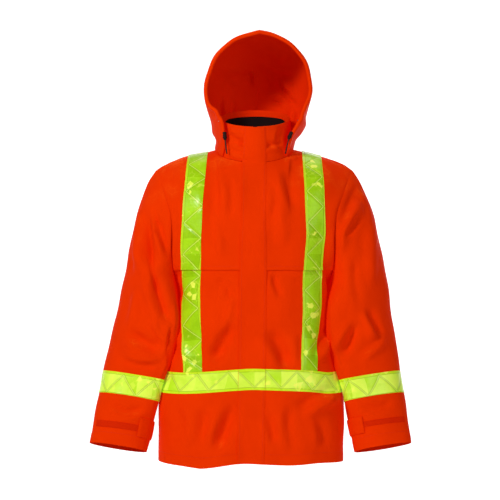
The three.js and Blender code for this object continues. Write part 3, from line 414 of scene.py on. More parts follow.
# %% Sleeve net
def armhole_loop(side):
    front = [body_point(COLUMN_END, side, FRONT, r) for r in range(ROW_UNDERARM, TOP_ROW + 1)]
    back = [body_point(COLUMN_END, side, BACK, r) for r in range(TOP_ROW - 1, ROW_UNDERARM, -1)]
    return np.array(front + back)


def loop_angles(loop):
    top = TOP_ROW - ROW_UNDERARM
    steps = np.linalg.norm(np.roll(loop, -1, 0) - loop, axis=1)
    lengths = np.r_[0, np.cumsum(steps)]
    k = np.arange(len(loop))
    up = math.pi * lengths[k] / lengths[top]
    down = math.pi + math.pi * (lengths[k] - lengths[top]) / (lengths[-1] - lengths[top])
    return np.where(k <= top, up, down)


def sleeve_oval(side, s, angle):
    row = {name: value_at(SLEEVE, "s", s, name) for name in SLEEVE if name != "s"}
    outer_x = row["rightX"] if side == RIGHT else row["leftX"]
    middle_x, middle_z = (outer_x + row["innerX"]) / 2, (row["outerZ"] + row["innerZ"]) / 2
    swing = -math.cos(angle) / 2
    forward = (-math.sin(angle) * row["halfDepth"]
               + row["ahead"] * abs(math.cos(angle / 2)) ** 4)
    z = middle_z + swing * (row["outerZ"] - row["innerZ"]) - row["tilt"] * forward
    x = side * (middle_x + swing * (outer_x - row["innerX"]))
    return np.array([x + value_at(LEAN, "z", z, "shift"), row["y"] + forward, z])


def sleeve_net(side):
    loop = armhole_loop(side)
    angles = loop_angles(loop)
    rows = [loop]
    ends = np.array([sleeve_oval(side, 0, a) for a in angles])
    afters = np.array([sleeve_oval(side, 1, a) for a in angles])
    for step in range(1, CAP_STEPS + 1):
        line = []
        for start, end, after, angle in zip(loop, ends, afters, angles):
            reach = np.linalg.norm(end - start)
            high = math.sin(angle / 2) ** 2
            outward = np.array([side * CAP_OUTWARD, 0, -CAP_DOWNWARD])
            leave = unit(lerp(outward, unit(end - start), 1 - CAP_FULLNESS * high)) * reach
            arrive = unit(after - end) * reach
            line.append(hermite(start, leave, end, arrive, step / (CAP_STEPS + 1)))
        rows.append(np.array(line))
    rows += [np.array([sleeve_oval(side, s, a) for a in angles]) for s in SLEEVE_RINGS[side]]
    return np.array(rows), angles


sleeve_nets = {side: sleeve_net(side) for side, _ in SIDES}
print("sleeve net", sleeve_nets[RIGHT][0].shape)


# %% Collar and hood points
def collar_point(angle, up):
    ahead, aside = math.cos(angle), math.sin(angle)
    front = ahead > 0
    base_reach = NECK_FRONT_REACH if front else NECK_BACK_REACH
    top_reach = COLLAR_TOP_FRONT_REACH if front else COLLAR_TOP_BACK_REACH
    base_z = lerp(NECK_SIDE_Z, NECK_FRONT_Z if front else NECK_BACK_Z, abs(ahead))
    top_z = lerp(COLLAR_TOP["side"], COLLAR_TOP["front" if front else "back"], abs(ahead))
    z = lerp(base_z, top_z, up)
    return np.array([aside * lerp(NECK_HALF, COLLAR_TOP_HALF, up) + value_at(LEAN, "z", z, "shift"),
                     NECK_MID_Y - ahead * lerp(base_reach, top_reach, up), z])


def hood_base(degrees, side):
    angle = math.radians(degrees)
    ahead = math.cos(angle)
    reach = NECK_FRONT_REACH if ahead > 0 else NECK_BACK_REACH
    far_z = NECK_FRONT_Z if ahead > 0 else NECK_BACK_Z
    return [side * (NECK_HALF + HOOD_OUT) * math.sin(angle),
            NECK_MID_Y - (reach + HOOD_OUT) * ahead,
            lerp(NECK_SIDE_Z, far_z, abs(ahead)) + HOOD_UP]


def hood_net(side, row_count, column_count):
    curves = []
    for base_angle, rows in HOOD_ARCHES:
        rows = np.array(rows, float)
        x = rows[:, 0 if side == RIGHT else 1] * side
        curves.append(np.vstack([hood_base(base_angle, side), np.c_[x, rows[:, 2:]]]))
    curves.append(np.array([hood_base(a, side) for a in HOOD_LAST_ANGLES]))
    along = np.linspace(0, 1, column_count)
    arches = np.array([evenly(curve, along) for curve in curves])
    down = np.linspace(0, 1, row_count)
    net = np.stack([through(arches[:, c], down) for c in range(column_count)], 1)
    net[..., 0] += value_at(HOOD_LEAN, "z", net[..., 2], "shift")
    return net


print("collar back top", collar_point(math.pi, 1).round(1))

# %% [markdown]
# ## Fine grids of cloth
# A net is refined to cells of about 4.5 mm, small enough for soft folds and for a smooth
# outline. The refinement runs along each line of points, so a seam that two pieces share stays
# one line. A grid also knows its distances across and along, which become its UV map in
# metres, and so weave, tape and stitches keep their real scale.

# %% Refine a net
CELL = 4.5


def steps_for(net, axis, closed=False, cell=CELL):
    ahead = np.roll(net, -1, axis) if closed else net[(slice(None),) * axis + (slice(1, None),)]
    start = net if closed else net[(slice(None),) * axis + (slice(0, -1),)]
    gaps = np.linalg.norm(ahead - start, axis=2).mean(1 - axis)
    return np.maximum(np.round(gaps / cell).astype(int), 1)


def refine(net, steps, closed=False):
    """Puts steps[i] spans between rows i and i + 1, on smooth curves through each column."""
    p = np.concatenate([net[-1:], net, net[:2]]) if closed else net
    gaps = np.linalg.norm(np.diff(p, axis=0), axis=2) + 1e-9
    place = np.concatenate([np.zeros((1, p.shape[1])), np.cumsum(gaps, 0)])[..., None]
    slope = np.empty_like(p)
    slope[1:-1] = (p[2:] - p[:-2]) / (place[2:] - place[:-2])
    slope[0] = (p[1] - p[0]) / (place[1] - place[0])
    slope[-1] = (p[-1] - p[-2]) / (place[-1] - place[-2])
    first = 1 if closed else 0
    rows = []
    for i, count in enumerate(steps):
        a, b = i + first, i + first + 1
        span = place[b] - place[a]
        for t in np.arange(count) / count:
            rows.append(hermite(p[a], slope[a] * span, p[b], slope[b] * span, t))
    if not closed:
        rows.append(net[-1])
    return np.array(rows)


def marks(steps):
    return np.r_[0, np.cumsum(steps)]


class Cloth:
    """A grid of points on a cloth's outer face. turn says which way its normals look."""

    def __init__(self, points, turn, closed=False):
        self.points, self.turn, self.closed = points, turn, closed
        self.find_normals()

    def find_normals(self):
        p = self.points
        across = np.gradient(np.concatenate([p[:, -2:], p, p[:, :2]], 1), axis=1)[:, 2:-2] \
            if self.closed else np.gradient(p, axis=1)
        down = np.gradient(p, axis=0)
        n = np.cross(across, down) * self.turn
        self.normals = n / (np.linalg.norm(n, axis=2, keepdims=True) + 1e-12)

    def across(self):
        p = np.concatenate([self.points, self.points[:, :1]], 1) if self.closed else self.points
        gaps = np.linalg.norm(np.diff(p, axis=1), axis=2)
        return np.concatenate([np.zeros((len(p), 1)), np.cumsum(gaps, 1)], 1)

    def along(self):
        gaps = np.linalg.norm(np.diff(self.points, axis=0), axis=2)
        return np.concatenate([np.zeros((1, self.points.shape[1])), np.cumsum(gaps, 0)])

    def cut(self, rows, columns):
        r, c = slice(rows[0], rows[1] + 1), slice(columns[0], columns[1] + 1)
        part = Cloth.__new__(Cloth)
        part.points, part.normals = self.points[r, c].copy(), self.normals[r, c].copy()
        part.turn, part.closed = self.turn, False
        return part

    def raised(self, height):
        part = Cloth.__new__(Cloth)
        part.points = self.points + self.normals * np.asarray(height)[..., None]
        part.normals, part.turn, part.closed = self.normals, self.turn, self.closed
        return part

    def size(self):
        across, along = self.across(), self.along()
        a = np.diff(np.concatenate([self.points, self.points[:, :1]], 1) if self.closed
                    else self.points, axis=1)[:-1]
        b = np.diff(self.points, axis=0)
        b = b if self.closed else b[:, :-1]
        area = np.linalg.norm(np.cross(a, b), axis=2).sum()
        return across[:, -1].max() * MM, along[-1].max() * MM, area * MM * MM


print("cells of", CELL, "mm")


# %% Make a thin closed shell from a grid
def shell_mesh(name, cloth, top, bottom, uv_offset=(0, 0)):
    """top and bottom are distances from the cloth's outer face. Slot 0 outside, 1 inside."""
    rows, columns = cloth.points.shape[:2]
    outer = cloth.points + cloth.normals * top
    inner = cloth.points + cloth.normals * bottom
    verts = np.concatenate([outer.reshape(-1, 3), inner.reshape(-1, 3)]) * MM
    ids = np.arange(rows * columns).reshape(rows, columns)
    uv = np.stack([cloth.across() + uv_offset[0], np.zeros((rows, 1)) + uv_offset[1]
                   + (np.c_[cloth.along(), cloth.along()[:, :1]] if cloth.closed
                      else cloth.along())], -1) * MM
    spots = np.arange(rows * uv.shape[1]).reshape(rows, -1)
    if cloth.closed:
        ids = np.c_[ids, ids[:, :1]]

    def quads(grid):
        return np.stack([grid[:-1, :-1], grid[:-1, 1:], grid[1:, 1:], grid[1:, :-1]], -1)

    face, spot = quads(ids).reshape(-1, 4), quads(spots).reshape(-1, 4)
    under = rows * columns
    parts, places, slots = [face, face[:, ::-1] + under], [spot, spot[:, ::-1]], [0, 1]
    counts = [len(face), len(face)]
    borders = [(ids[0], spots[0], 1), (ids[-1], spots[-1], -1)]
    if not cloth.closed:
        borders += [(ids[:, 0], spots[:, 0], -1), (ids[:, -1], spots[:, -1], 1)]
    for line, place, way in borders:
        rim = np.stack([line[:-1] + under, line[1:] + under, line[1:], line[:-1]], -1)
        rim_spot = np.stack([place[:-1], place[1:], place[1:], place[:-1]], -1)
        parts.append(rim[:, ::way])
        places.append(rim_spot[:, ::way])
        slots.append(0)
        counts.append(len(rim))
    faces, places = np.concatenate(parts), np.concatenate(places)
    if cloth.turn < 0:
        faces, places = faces[:, ::-1], places[:, ::-1]
    mesh = bpy.data.meshes.new(name)
    mesh.vertices.add(len(verts))
    mesh.vertices.foreach_set("co", verts.ravel())
    mesh.loops.add(faces.size)
    mesh.loops.foreach_set("vertex_index", faces.ravel().astype(np.int32))
    mesh.polygons.add(len(faces))
    mesh.polygons.foreach_set("loop_start", np.arange(0, faces.size, 4, dtype=np.int32))
    mesh.polygons.foreach_set("material_index", np.repeat(slots, counts).astype(np.int32))
    mesh.update(calc_edges=True)
    layer = mesh.uv_layers.new(name="UVMap")
    layer.data.foreach_set("uv", uv.reshape(-1, 2)[places.ravel()].ravel())
    mesh.validate()
    mesh.shade_smooth()
    mesh.set_sharp_from_angle(angle=math.radians(60))
    piece = bpy.data.objects.new(name, mesh)
    bpy.context.scene.collection.objects.link(piece)
    return piece


print("shell maker ready")

# %% [markdown]
# ## Refined body and sleeves
# The sleeve's loop and the body's edge are refined apart, so the body's outermost columns are
# drawn onto the sleeve's loop afterwards. The cloth then meets along one clean armhole seam.

# %% Fine grids of body and sleeves
row_steps = np.maximum(steps_for(back_net, 0), 2)
row_at = marks(row_steps)
half_steps = steps_for(nets[FRONT, LEFT], 1)
back_half_steps = steps_for(nets[BACK, LEFT], 1)


def fine_loop(side):
    loop = armhole_loop(side)[:, None, :]
    up = row_steps[ROW_UNDERARM:]
    return refine(loop, np.r_[up, up[::-1]], closed=True)[:, 0]


def fit_edge(points, line, first_row, side, columns=9):
    """Draws the outer columns onto the armhole line, fading out over some columns."""
    edge = 0 if side == RIGHT else points.shape[1] - 1
    rows = slice(first_row, first_row + len(line))
    off = line - points[rows, edge]
    for k in range(columns):
        points[rows, edge + k * (1 if side == RIGHT else -1)] += off * (1 - k / columns) ** 2


loops = {side: fine_loop(side) for side, _ in SIDES}
fronts = {}
for side, word in SIDES:
    steps = half_steps[::-1] if side == RIGHT else half_steps
    points = refine(nets[FRONT, side], row_steps)
    points = refine(points.swapaxes(0, 1), steps).swapaxes(0, 1)
    up_count = row_steps[ROW_UNDERARM:].sum() + 1
    fit_edge(points, loops[side][:up_count], row_at[ROW_UNDERARM], side)
    fronts[side] = Cloth(points, -FRONT)
back_points = refine(refine(back_net, row_steps).swapaxes(0, 1),
                     np.r_[back_half_steps[::-1], back_half_steps]).swapaxes(0, 1)
for side, word in SIDES:
    down = np.concatenate([loops[side][:1], loops[side][:up_count - 2:-1]])
    fit_edge(back_points, down, row_at[ROW_UNDERARM], side)
back = Cloth(back_points, -BACK)
sleeves, sleeve_rows = {}, {}
for side, word in SIDES:
    net, angles = sleeve_nets[side]
    up = row_steps[ROW_UNDERARM:]
    points = refine(net.swapaxes(0, 1), np.r_[up, up[::-1]], closed=True).swapaxes(0, 1)
    steps = steps_for(net, 0)
    sleeves[side] = Cloth(refine(points, steps), -side, closed=True)
    sleeve_rows[side] = marks(steps)
print("fronts", fronts[RIGHT].points.shape, "back", back.points.shape,
      "sleeve", sleeves[RIGHT].points.shape)

# %% [markdown]
# ## Folds and creases
# The coated cloth is stiff, so it shows few folds: long soft shades down the body and sleeves,
# a sharper break at each elbow and a gather at the underarm. Each is a line with a breadth and
# a height, offset along the cloth's normal. Front folds are placed by pixels of the photograph,
# and those of the hidden back are of the same kinds.

# %% One fold, and all of a piece's folds
FRONT_DEPTH_SHARE = 0.975
FOLD_DEPTH = 3.1


def seen(pixels):
    """Pixels of the photograph as X and Z in mm, at the depth of the jacket's front."""
    pixels = np.array(pixels, float)
    x = VIEW_X / MM + (pixels[:, 0] - 250) * PIXEL * FRONT_DEPTH_SHARE
    z = VIEW_Z / MM + (250 - pixels[:, 1]) * PIXEL * FRONT_DEPTH_SHARE
    return np.c_[x, z]


def fold_height(points, line, breadth, height, lip=0.0, fade=0.35):
    """lip is the share of a second, opposite swell on the right of the line's way."""
    line = through(line, np.linspace(0, 1, 14)) if len(line) > 2 else np.array(line, float)
    p = points[..., [0, 2]]
    best = np.full(p.shape[:2], 1e9)
    off, place = np.zeros_like(best), np.zeros_like(best)
    start = 0.0
    for a, b in zip(line[:-1], line[1:]):
        way = b - a
        length = np.linalg.norm(way)
        t = np.clip((p - a) @ way / length ** 2, 0, 1)
        apart = p - (a + t[..., None] * way)
        distance = np.linalg.norm(apart, axis=-1)
        side = np.sign(apart[..., 0] * way[1] - apart[..., 1] * way[0])
        closer = distance < best
        best = np.where(closer, distance, best)
        off = np.where(closer, distance * side, off)
        place = np.where(closer, start + t * length, place)
        start += length
    swell = smoothstep(0, fade * start, place) * (1 - smoothstep((1 - fade) * start, start, place))
    swell *= 0.85 + 0.15 * np.sin(place / 17 + breadth)
    wave = np.exp(-(off / breadth) ** 2) - lip * np.exp(-((off / breadth - 1.7) ** 2))
    return height * swell * wave


def relief(cloth, folds, facing=None):
    total = np.zeros(cloth.points.shape[:2])
    for face, line, breadth, height, *more in folds:
        shown = 1.0
        if facing is not None:
            shown = smoothstep(0.1, 0.6, face * cloth.normals[..., 1])
        total += shown * fold_height(cloth.points, line, breadth, FOLD_DEPTH * height, *more)
    return total


def ripple(points, size, height, seed):
    """Slow unevenness of hanging cloth, as a few crossed waves."""
    x, y, z = (points[..., k] / size for k in range(3))
    return height * (np.sin(1.3 * x + 2.1 * z + seed) * np.sin(0.9 * z - 1.7 * x + 2 * seed)
                     + 0.5 * np.sin(2.9 * x - 1.1 * z + 3 * seed + y))


BODY_RIPPLE = (44, 1.9, 1.3)
FRONT_SHARE = 1.35
print("front fold heights fade in and out over a third of their length")

# %% Folds of the body's front
BODY_FRONT_FOLDS = [
    (FRONT, seen([(235, 320), (223, 343), (210, 365)]), 15, -4.5, 0.5),
    (FRONT, seen([(213, 288), (224, 284), (235, 303)]), 10, -1.6, 0.4),
    (FRONT, seen([(237, 397), (227, 423), (213, 457)]), 15, -4.2, 0.5),
    (FRONT, seen([(287, 163), (290, 193), (298, 213)]), 12, -2.4, 0.4),
    (FRONT, seen([(277, 200), (282, 227), (283, 250)]), 14, 1.8, 0.3),
    (FRONT, seen([(273, 271), (276, 285), (282, 300)]), 7, -1.8, 0.5),
    (FRONT, seen([(268, 327), (280, 347), (290, 370)]), 15, -4.2, 0.5),
    (FRONT, seen([(344, 396), (322, 404), (300, 418)]), 13, 4.0, 0.6),
    (FRONT, seen([(267, 412), (271, 424), (276, 445)]), 10, -2.2, 0.4),
    (FRONT, seen([(340, 330), (327, 345), (322, 364)]), 10, 3.2, 0.5),
    (FRONT, seen([(172, 330), (181, 345), (186, 364)]), 10, 1.3, 0.5),
    (FRONT, seen([(216, 175), (214, 205), (217, 245)]), 17, -1.8, 0.3),
    (FRONT, seen([(228, 168), (232, 195), (229, 225)]), 10, -1.4, 0.4),
    (FRONT, seen([(325, 262), (330, 275), (334, 300)]), 9, -2.4, 0.5),
    (FRONT, seen([(174, 262), (177, 280), (179, 306)]), 9, -2.2, 0.5),
    (FRONT, seen([(183, 398), (190, 420), (186, 448)]), 13, 2.4, 0.4),
    (FRONT, seen([(290, 400), (289, 425), (296, 455)]), 12, -1.8, 0.4),
    (FRONT, seen([(202, 398), (204, 420), (200, 452)]), 11, -1.6, 0.4),
    (FRONT, seen([(233, 292), (228, 318), (219, 338)]), 8, 1.4, 0.5),
    (FRONT, seen([(313, 412), (322, 428), (326, 452)]), 11, -2.0, 0.4),
    (FRONT, seen([(270, 180), (276, 196), (272, 226)]), 9, -1.4, 0.4),
    (FRONT, seen([(299, 330), (301, 347), (300, 366)]), 9, -1.4, 0.4),
    (FRONT, seen([(213, 208), (218, 232), (222, 262)]), 9, 1.3, 0.4),
]
BODY_BACK_FOLDS = [
    (BACK, np.array([[-60, -350], [-98, -400], [-150, -480]]), 20, -5, 0.5),
    (BACK, np.array([[55, -360], [90, -420], [140, -490]]), 20, -5, 0.5),
    (BACK, np.array([[0, -150], [6, -280], [10, -420]]), 24, 4, 0.3),
    (BACK, np.array([[40, -570], [62, -640], [95, -700]]), 17, -4, 0.5),
    (BACK, np.array([[-45, -575], [-70, -630], [-72, -700]]), 13, -2.6, 0.4),
    (BACK, np.array([[-150, -180], [-118, -240], [-96, -310]]), 15, -2.6, 0.4),
    (BACK, np.array([[150, -175], [112, -225], [84, -290]]), 17, -3.2, 0.4),
    (BACK, np.array([[170, -330], [140, -350], [96, -352]]), 11, -2.4, 0.5),
    (BACK, np.array([[-168, -340], [-150, -368], [-104, -380]]), 10, -2.0, 0.5),
]


def body_relief(cloth, folds):
    across = cloth.across()
    width = across[:, -1:]
    free = smoothstep(0, 34, np.minimum(across, width - across))
    return relief(cloth, folds) * free


for side, word in SIDES:
    cloth = fronts[side]
    across = cloth.across()
    outer = across if side == RIGHT else across[:, -1:] - across
    raise_by = FRONT_SHARE * relief(cloth, BODY_FRONT_FOLDS) * smoothstep(0, 34, outer)
    raise_by += ripple(cloth.points, *BODY_RIPPLE) * smoothstep(0, 30, outer)
    fronts[side] = cloth.raised(raise_by)
    fronts[side].find_normals()
back = back.raised(body_relief(back, BODY_BACK_FOLDS) + ripple(back.points, 50, 1.5, 2.2)
                   * smoothstep(0, 30, np.minimum(back.across(), back.across()[:, -1:]
                                                  - back.across())))
back.find_normals()
print("deepest front fold", round(float(relief(fronts[LEFT], BODY_FRONT_FOLDS).min()), 1), "mm")

# %% [markdown]
# ## Folds of the sleeves
# The sleeves bear on the body's sides, so in front their inner face is pressed a little
# forward and over the side seam. Moving it leaves no slit of background between the two.

# %% Folds of the sleeves
SLEEVE_FOLDS = {
    RIGHT: [
        (FRONT, seen([(143, 205), (147, 250), (153, 277)]), 14, -4.2, 0.6),
        (FRONT, seen([(151, 270), (160, 300), (172, 328)]), 13, -4.0, 0.5),
        (FRONT, seen([(157, 214), (163, 237), (170, 257)]), 9, -3.0, 0.6),
        (FRONT, seen([(160, 180), (166, 197), (171, 214)]), 7, -2.0, 0.5),
        (FRONT, seen([(125, 330), (145, 344), (166, 350)]), 13, -3.2, 0.6),
        (FRONT, seen([(118, 352), (138, 360), (160, 360)]), 9, 2.6, 0.4),
        (FRONT, seen([(137, 285), (133, 310), (128, 335)]), 12, 2.4, 0.3),
        (FRONT, seen([(108, 402), (122, 412), (146, 409)]), 9, -1.8, 0.5),
        (FRONT, seen([(133, 230), (129, 255), (126, 280)]), 9, -1.6, 0.4),
        (FRONT, seen([(144, 214), (146, 240), (151, 270), (167, 318)]), 5.5, -1.7, 0.3),
        (FRONT, seen([(152, 204), (157, 228), (163, 248)]), 5.5, -1.6, 0.3),
        (FRONT, seen([(171, 322), (168, 345), (163, 369)]), 6, -2.6, 0.2),
        (FRONT, seen([(150, 318), (158, 334), (166, 346)]), 8, 1.6, 0.4),
        (BACK, np.array([[-240, -180], [-226, -240], [-215, -300]]), 16, -4, 0.5),
        (BACK, np.array([[-296, -395], [-250, -425], [-205, -436]]), 15, -5, 0.5),
        (BACK, np.array([[-310, -440], [-262, -455], [-222, -462]]), 11, 2.8, 0.3),
        (BACK, np.array([[-262, -250], [-272, -320], [-292, -370]]), 14, -2.4, 0.4),
        (BACK, np.array([[-330, -596], [-290, -612], [-246, -600]]), 9, -2, 0.5),
    ],
    LEFT: [
        (FRONT, seen([(369, 190), (347, 227), (336, 266)]), 13, 3.6, 0.7),
        (FRONT, seen([(363, 213), (351, 230), (341, 243)]), 9, -3.2, 0.5),
        (FRONT, seen([(368, 306), (375, 320), (384, 340)]), 10, -4.2, 0.8),
        (FRONT, seen([(360, 322), (350, 342), (342, 362)]), 11, -4.2, 0.7),
        (FRONT, seen([(376, 212), (373, 255), (375, 298)]), 13, 2.2, 0.5),
        (FRONT, seen([(357, 250), (356, 280), (361, 310)]), 12, -2.4, 0.4),
        (FRONT, seen([(391, 336), (378, 350), (360, 362)]), 9, 2.6, 0.4),
        (FRONT, seen([(397, 398), (380, 409), (358, 407)]), 9, -2.0, 0.5),
        (FRONT, seen([(362, 178), (351, 198), (342, 224)]), 6, -1.8, 0.4),
        (FRONT, seen([(357, 186), (371, 204), (372, 222)]), 7, 1.2, 0.4),
        (FRONT, seen([(328, 300), (331, 330), (337, 362)]), 6, -2.4, 0.2),
        (BACK, np.array([[285, -410], [250, -432], [208, -446]]), 15, -5, 0.5),
        (BACK, np.array([[240, -180], [226, -240], [215, -300]]), 16, -4, 0.5),
        (BACK, np.array([[306, -452], [262, -464], [226, -470]]), 10, 2.6, 0.3),
        (BACK, np.array([[276, -250], [284, -320], [300, -372]]), 14, -2.2, 0.4),
        (BACK, np.array([[333, -590], [296, -606], [250, -598]]), 9, -2, 0.5),
    ],
}
SLEEVE_SHARE = {RIGHT: 1.4, LEFT: 1.0}
OVERLAP = table("z aside ahead", [[-680, 0, 0], [-630, 1, 0], [-585, 4, 4], [-545, 8, 9],
                                  [-505, 10, 15], [-460, 8, 15], [-380, 6, 14], [-330, 5, 9],
                                  [-285, 0, 0]])
for side, word in SIDES:
    cloth = sleeves[side]
    along = cloth.along()
    free = smoothstep(0, 45, along)
    raise_by = SLEEVE_SHARE[side] * relief(cloth, SLEEVE_FOLDS[side], facing=True) * free
    raise_by += ripple(cloth.points, 42, 1.4, 0.4 + side) * free
    sleeves[side] = cloth.raised(raise_by)
    normals, z = cloth.normals, cloth.points[..., 2]
    toward = np.clip(-side * normals[..., 0], 0, 1) * smoothstep(-0.6, 0.2, -normals[..., 1])
    sleeves[side].points[..., 0] -= side * value_at(OVERLAP, "z", z, "aside") * toward
    sleeves[side].points[..., 1] -= value_at(OVERLAP, "z", z, "ahead") * toward
    sleeves[side].find_normals()
print("folds on each sleeve:", [len(SLEEVE_FOLDS[side]) for side, _ in SIDES])

# %% [markdown]
# ## Seams
# Two panels sewn together turn in at their edge, and the thread pulls small puckers beside
# it. A groove and a faint wave that die away from the edge give both. Modelling the turned
# allowance itself would double the mesh for a thing that never shows.

# %% Seam relief and cloth thickness
SHELL_THICKNESS = 1.1


def seam_relief(cloth, edges, depth=0.9, width=2.6, pucker=0.22, first=0):
    across, along = cloth.across(), cloth.along()
    if cloth.closed:
        across = across[:, :-1]
    distance = {"left": across, "right": across[:, -1:] - across,
                "bottom": along, "top": along[-1:] - along}
    total = np.zeros(cloth.points.shape[:2])
    for edge in edges:
        d = distance[edge]
        run = along if edge in ("left", "right") else across
        total -= depth * np.exp(-(d / width) ** 2)
        wave = np.sin(run / 2.9 + 1.7 * np.sin(run / 21 + first)) * np.sin(run / 13 + first)
        total += pucker * wave * np.exp(-((d - 5) / 7) ** 2)
    return total


def hem_relief(cloth, height, depth=0.5):
    """A hem is folded up and sewn, so the cloth stands a little proud below its stitches."""
    along = cloth.along()
    fold = 0.35 * (1 - smoothstep(height - 2, height + 2, along))
    return fold - depth * np.exp(-((along - height) / 1.6) ** 2)


def drawn_back(cloth, amount=0.12):
    p = cloth.points.copy()
    for edge, inside in ((0, 1), (-1, -2)):
        way = cloth.points[inside] - cloth.points[edge]
        p[edge] += way / np.linalg.norm(way, axis=-1, keepdims=True) * amount
        if not cloth.closed:
            way = cloth.points[:, inside] - cloth.points[:, edge]
            p[:, edge] += way / np.linalg.norm(way, axis=-1, keepdims=True) * amount
    out = Cloth.__new__(Cloth)
    out.points, out.normals, out.turn, out.closed = p, cloth.normals, cloth.turn, cloth.closed
    return out


pieces, sizes = {}, {}


def panel(name, cloth, edges=(), hem=0, nodes=(), top=0.0, thickness=SHELL_THICKNESS, gap=0.12):
    """Makes one sewn panel, and notes its real size."""
    height = seam_relief(cloth, edges, first=len(name))
    if hem:
        height = height + hem_relief(cloth, hem)
    flat = cloth.raised(height)
    piece = shell_mesh(name, drawn_back(flat, gap), top, top - thickness)
    pieces[name] = piece
    sizes[name] = cloth.size()
    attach(piece, "root")
    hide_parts(*nodes)
    print(f"{name}: {len(piece.data.polygons)} faces, cut",
          " x ".join(f"{s:.3f}" for s in sizes[name][:2]), f"m, {sizes[name][2]:.4f} m2")
    return piece


print("cloth", SHELL_THICKNESS, "mm thick")

# %% [markdown]
# ## Body panels
# The front has a lower panel on each side that runs up under a loose yoke, whose free edge
# makes the vent across the chest. The back is a lower and an upper panel.

# %% Cut the body panels
HEM_FOLD = 24


def yoke_lift(points):
    return YOKE_LIFT * (1 - smoothstep(TUCK_TOP_Z, YOKE_LIFT_END_Z, points[..., 2]))


half_marks = {LEFT: marks(half_steps), RIGHT: marks(half_steps[::-1])}
yokes = {}
for side, word in SIDES:
    whole = fronts[side]
    last = whole.points.shape[1] - 1
    lower = whole.cut((0, row_at[ROW_TUCK]), (0, last))
    outer_edge = "left" if side == RIGHT else "right"
    panel(f"front_panel_{word}", lower, (outer_edge,), HEM_FOLD, [f"front_lower_{word}"])
    yoke = whole.cut((row_at[ROW_YOKE], row_at[TOP_ROW]), (0, last))
    lift = yoke_lift(yoke.points)
    yoke = yoke.raised(lift)
    step = 1 if side == RIGHT else -1
    edge = 0 if side == RIGHT else last
    for k in range(8):
        column = edge + k * step
        inward = whole.cut((row_at[ROW_YOKE], row_at[TOP_ROW]), (0, last)).points
        way = inward[:, column + step] - inward[:, column]
        way /= np.linalg.norm(way, axis=1, keepdims=True)
        yoke.points[:, column] += way * (YOKE_SIDE_SHARE * lift[:, column]
                                         * (1 - k / 8) ** 2)[:, None]
    flare = 0.9 * np.exp(-yoke.along() / 9) * (0.6 + 0.4 * np.sin(yoke.across() / 23 + side))
    yokes[side] = yoke.raised(flare)
    panel(f"yoke_{word}", yokes[side], (outer_edge, "top"), 0, [f"front_yoke_{word}"])
last = back.points.shape[1] - 1
back_lower = back.cut((0, row_at[ROW_YOKE]), (0, last))
back_upper = back.cut((row_at[ROW_YOKE], row_at[TOP_ROW]), (0, last))
panel("back_panel", back_lower, ("left", "right", "top"), HEM_FOLD, ["back_lower"])
panel("back_yoke", back_upper, ("left", "right", "top", "bottom"), 0, ["back_upper"])

# %% [markdown]
# ## Sleeves
# Each sleeve is one tube, sewn into the armhole and turned up at the cuff.

# %% Sleeves
CUFF_FOLD = 26
for side, word in SIDES:
    cloth = sleeves[side]
    along = cloth.along()
    from_cuff = along[-1:] - along
    armhole = -0.9 * np.exp(-(along / 2.6) ** 2)
    cuff = 0.35 * (1 - smoothstep(CUFF_FOLD - 2, CUFF_FOLD + 2, from_cuff))
    cuff -= 0.5 * np.exp(-((from_cuff - CUFF_FOLD) / 1.6) ** 2)
    sleeves[side] = cloth.raised(armhole + cuff)
    panel(f"sleeve_cloth_{word}", sleeves[side], (), 0, [f"sleeve_{word}"])

# %% [markdown]
# ## Zip and storm flap
# A coil zip joins the two fronts, and a double storm flap covers it from hem to collar top.
# The flap is sewn down on the wearer's left and lies loose on the right, so its loose edge
# stands a little off the front and throws a thin shadow.

# %% Zip and flap
COLLAR_ROWS = 4
FLAP_TAPER = 0.1


def centre_net(xs):
    rows = []
    for r in range(TOP_ROW + 1):
        narrow = 1 - FLAP_TAPER * smoothstep(-300, -60, LEVELS[r] if r <= ROW_CHEST else -60)
        line = []
        for x in xs:
            side = RIGHT if x < 0 else LEFT
            at = abs(x) * (narrow if abs(x) > ZIP_HALF else 1)
            half = (level_point(at, FRONT, LEVELS[r]) if r <= ROW_CHEST
                    else upper_point(at, at, FRONT, (r - ROW_CHEST) / TOP_STEPS))
            half = np.array(half, float)
            half[0] *= side
            line.append(shape(half, FRONT))
        rows.append(line)
    for r in range(1, COLLAR_ROWS + 1):
        spread = 1 - FLAP_TAPER
        rows.append([collar_point(math.asin(x * (spread if abs(x) > ZIP_HALF else 1)
                                            / NECK_HALF), r / COLLAR_ROWS) for x in xs])
    return np.array(rows, float)


def flap_lift(points):
    lift = yoke_lift(points)
    return lift * smoothstep(FLAP_LIFT_START_Z, YOKE_EDGE_Z, points[..., 2])


def strip_cloth(xs):
    net = centre_net(xs)
    steps = steps_for(net, 0)
    return Cloth(refine(net, steps), 1), marks(steps)


def centre_relief(cloth):
    return FRONT_SHARE * relief(cloth, BODY_FRONT_FOLDS) + ripple(cloth.points, *BODY_RIPPLE)


zip_cloth, zip_rows = strip_cloth([-ZIP_HALF + 0.4, -1.6, 1.6, ZIP_HALF - 0.4])
zip_cloth = zip_cloth.raised(centre_relief(zip_cloth) - 0.5)
zip_piece = shell_mesh("zip_tape", zip_cloth, 0, -1.0)
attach(zip_piece, "root")
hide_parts("front_zip")
pieces["zip_tape"] = zip_piece

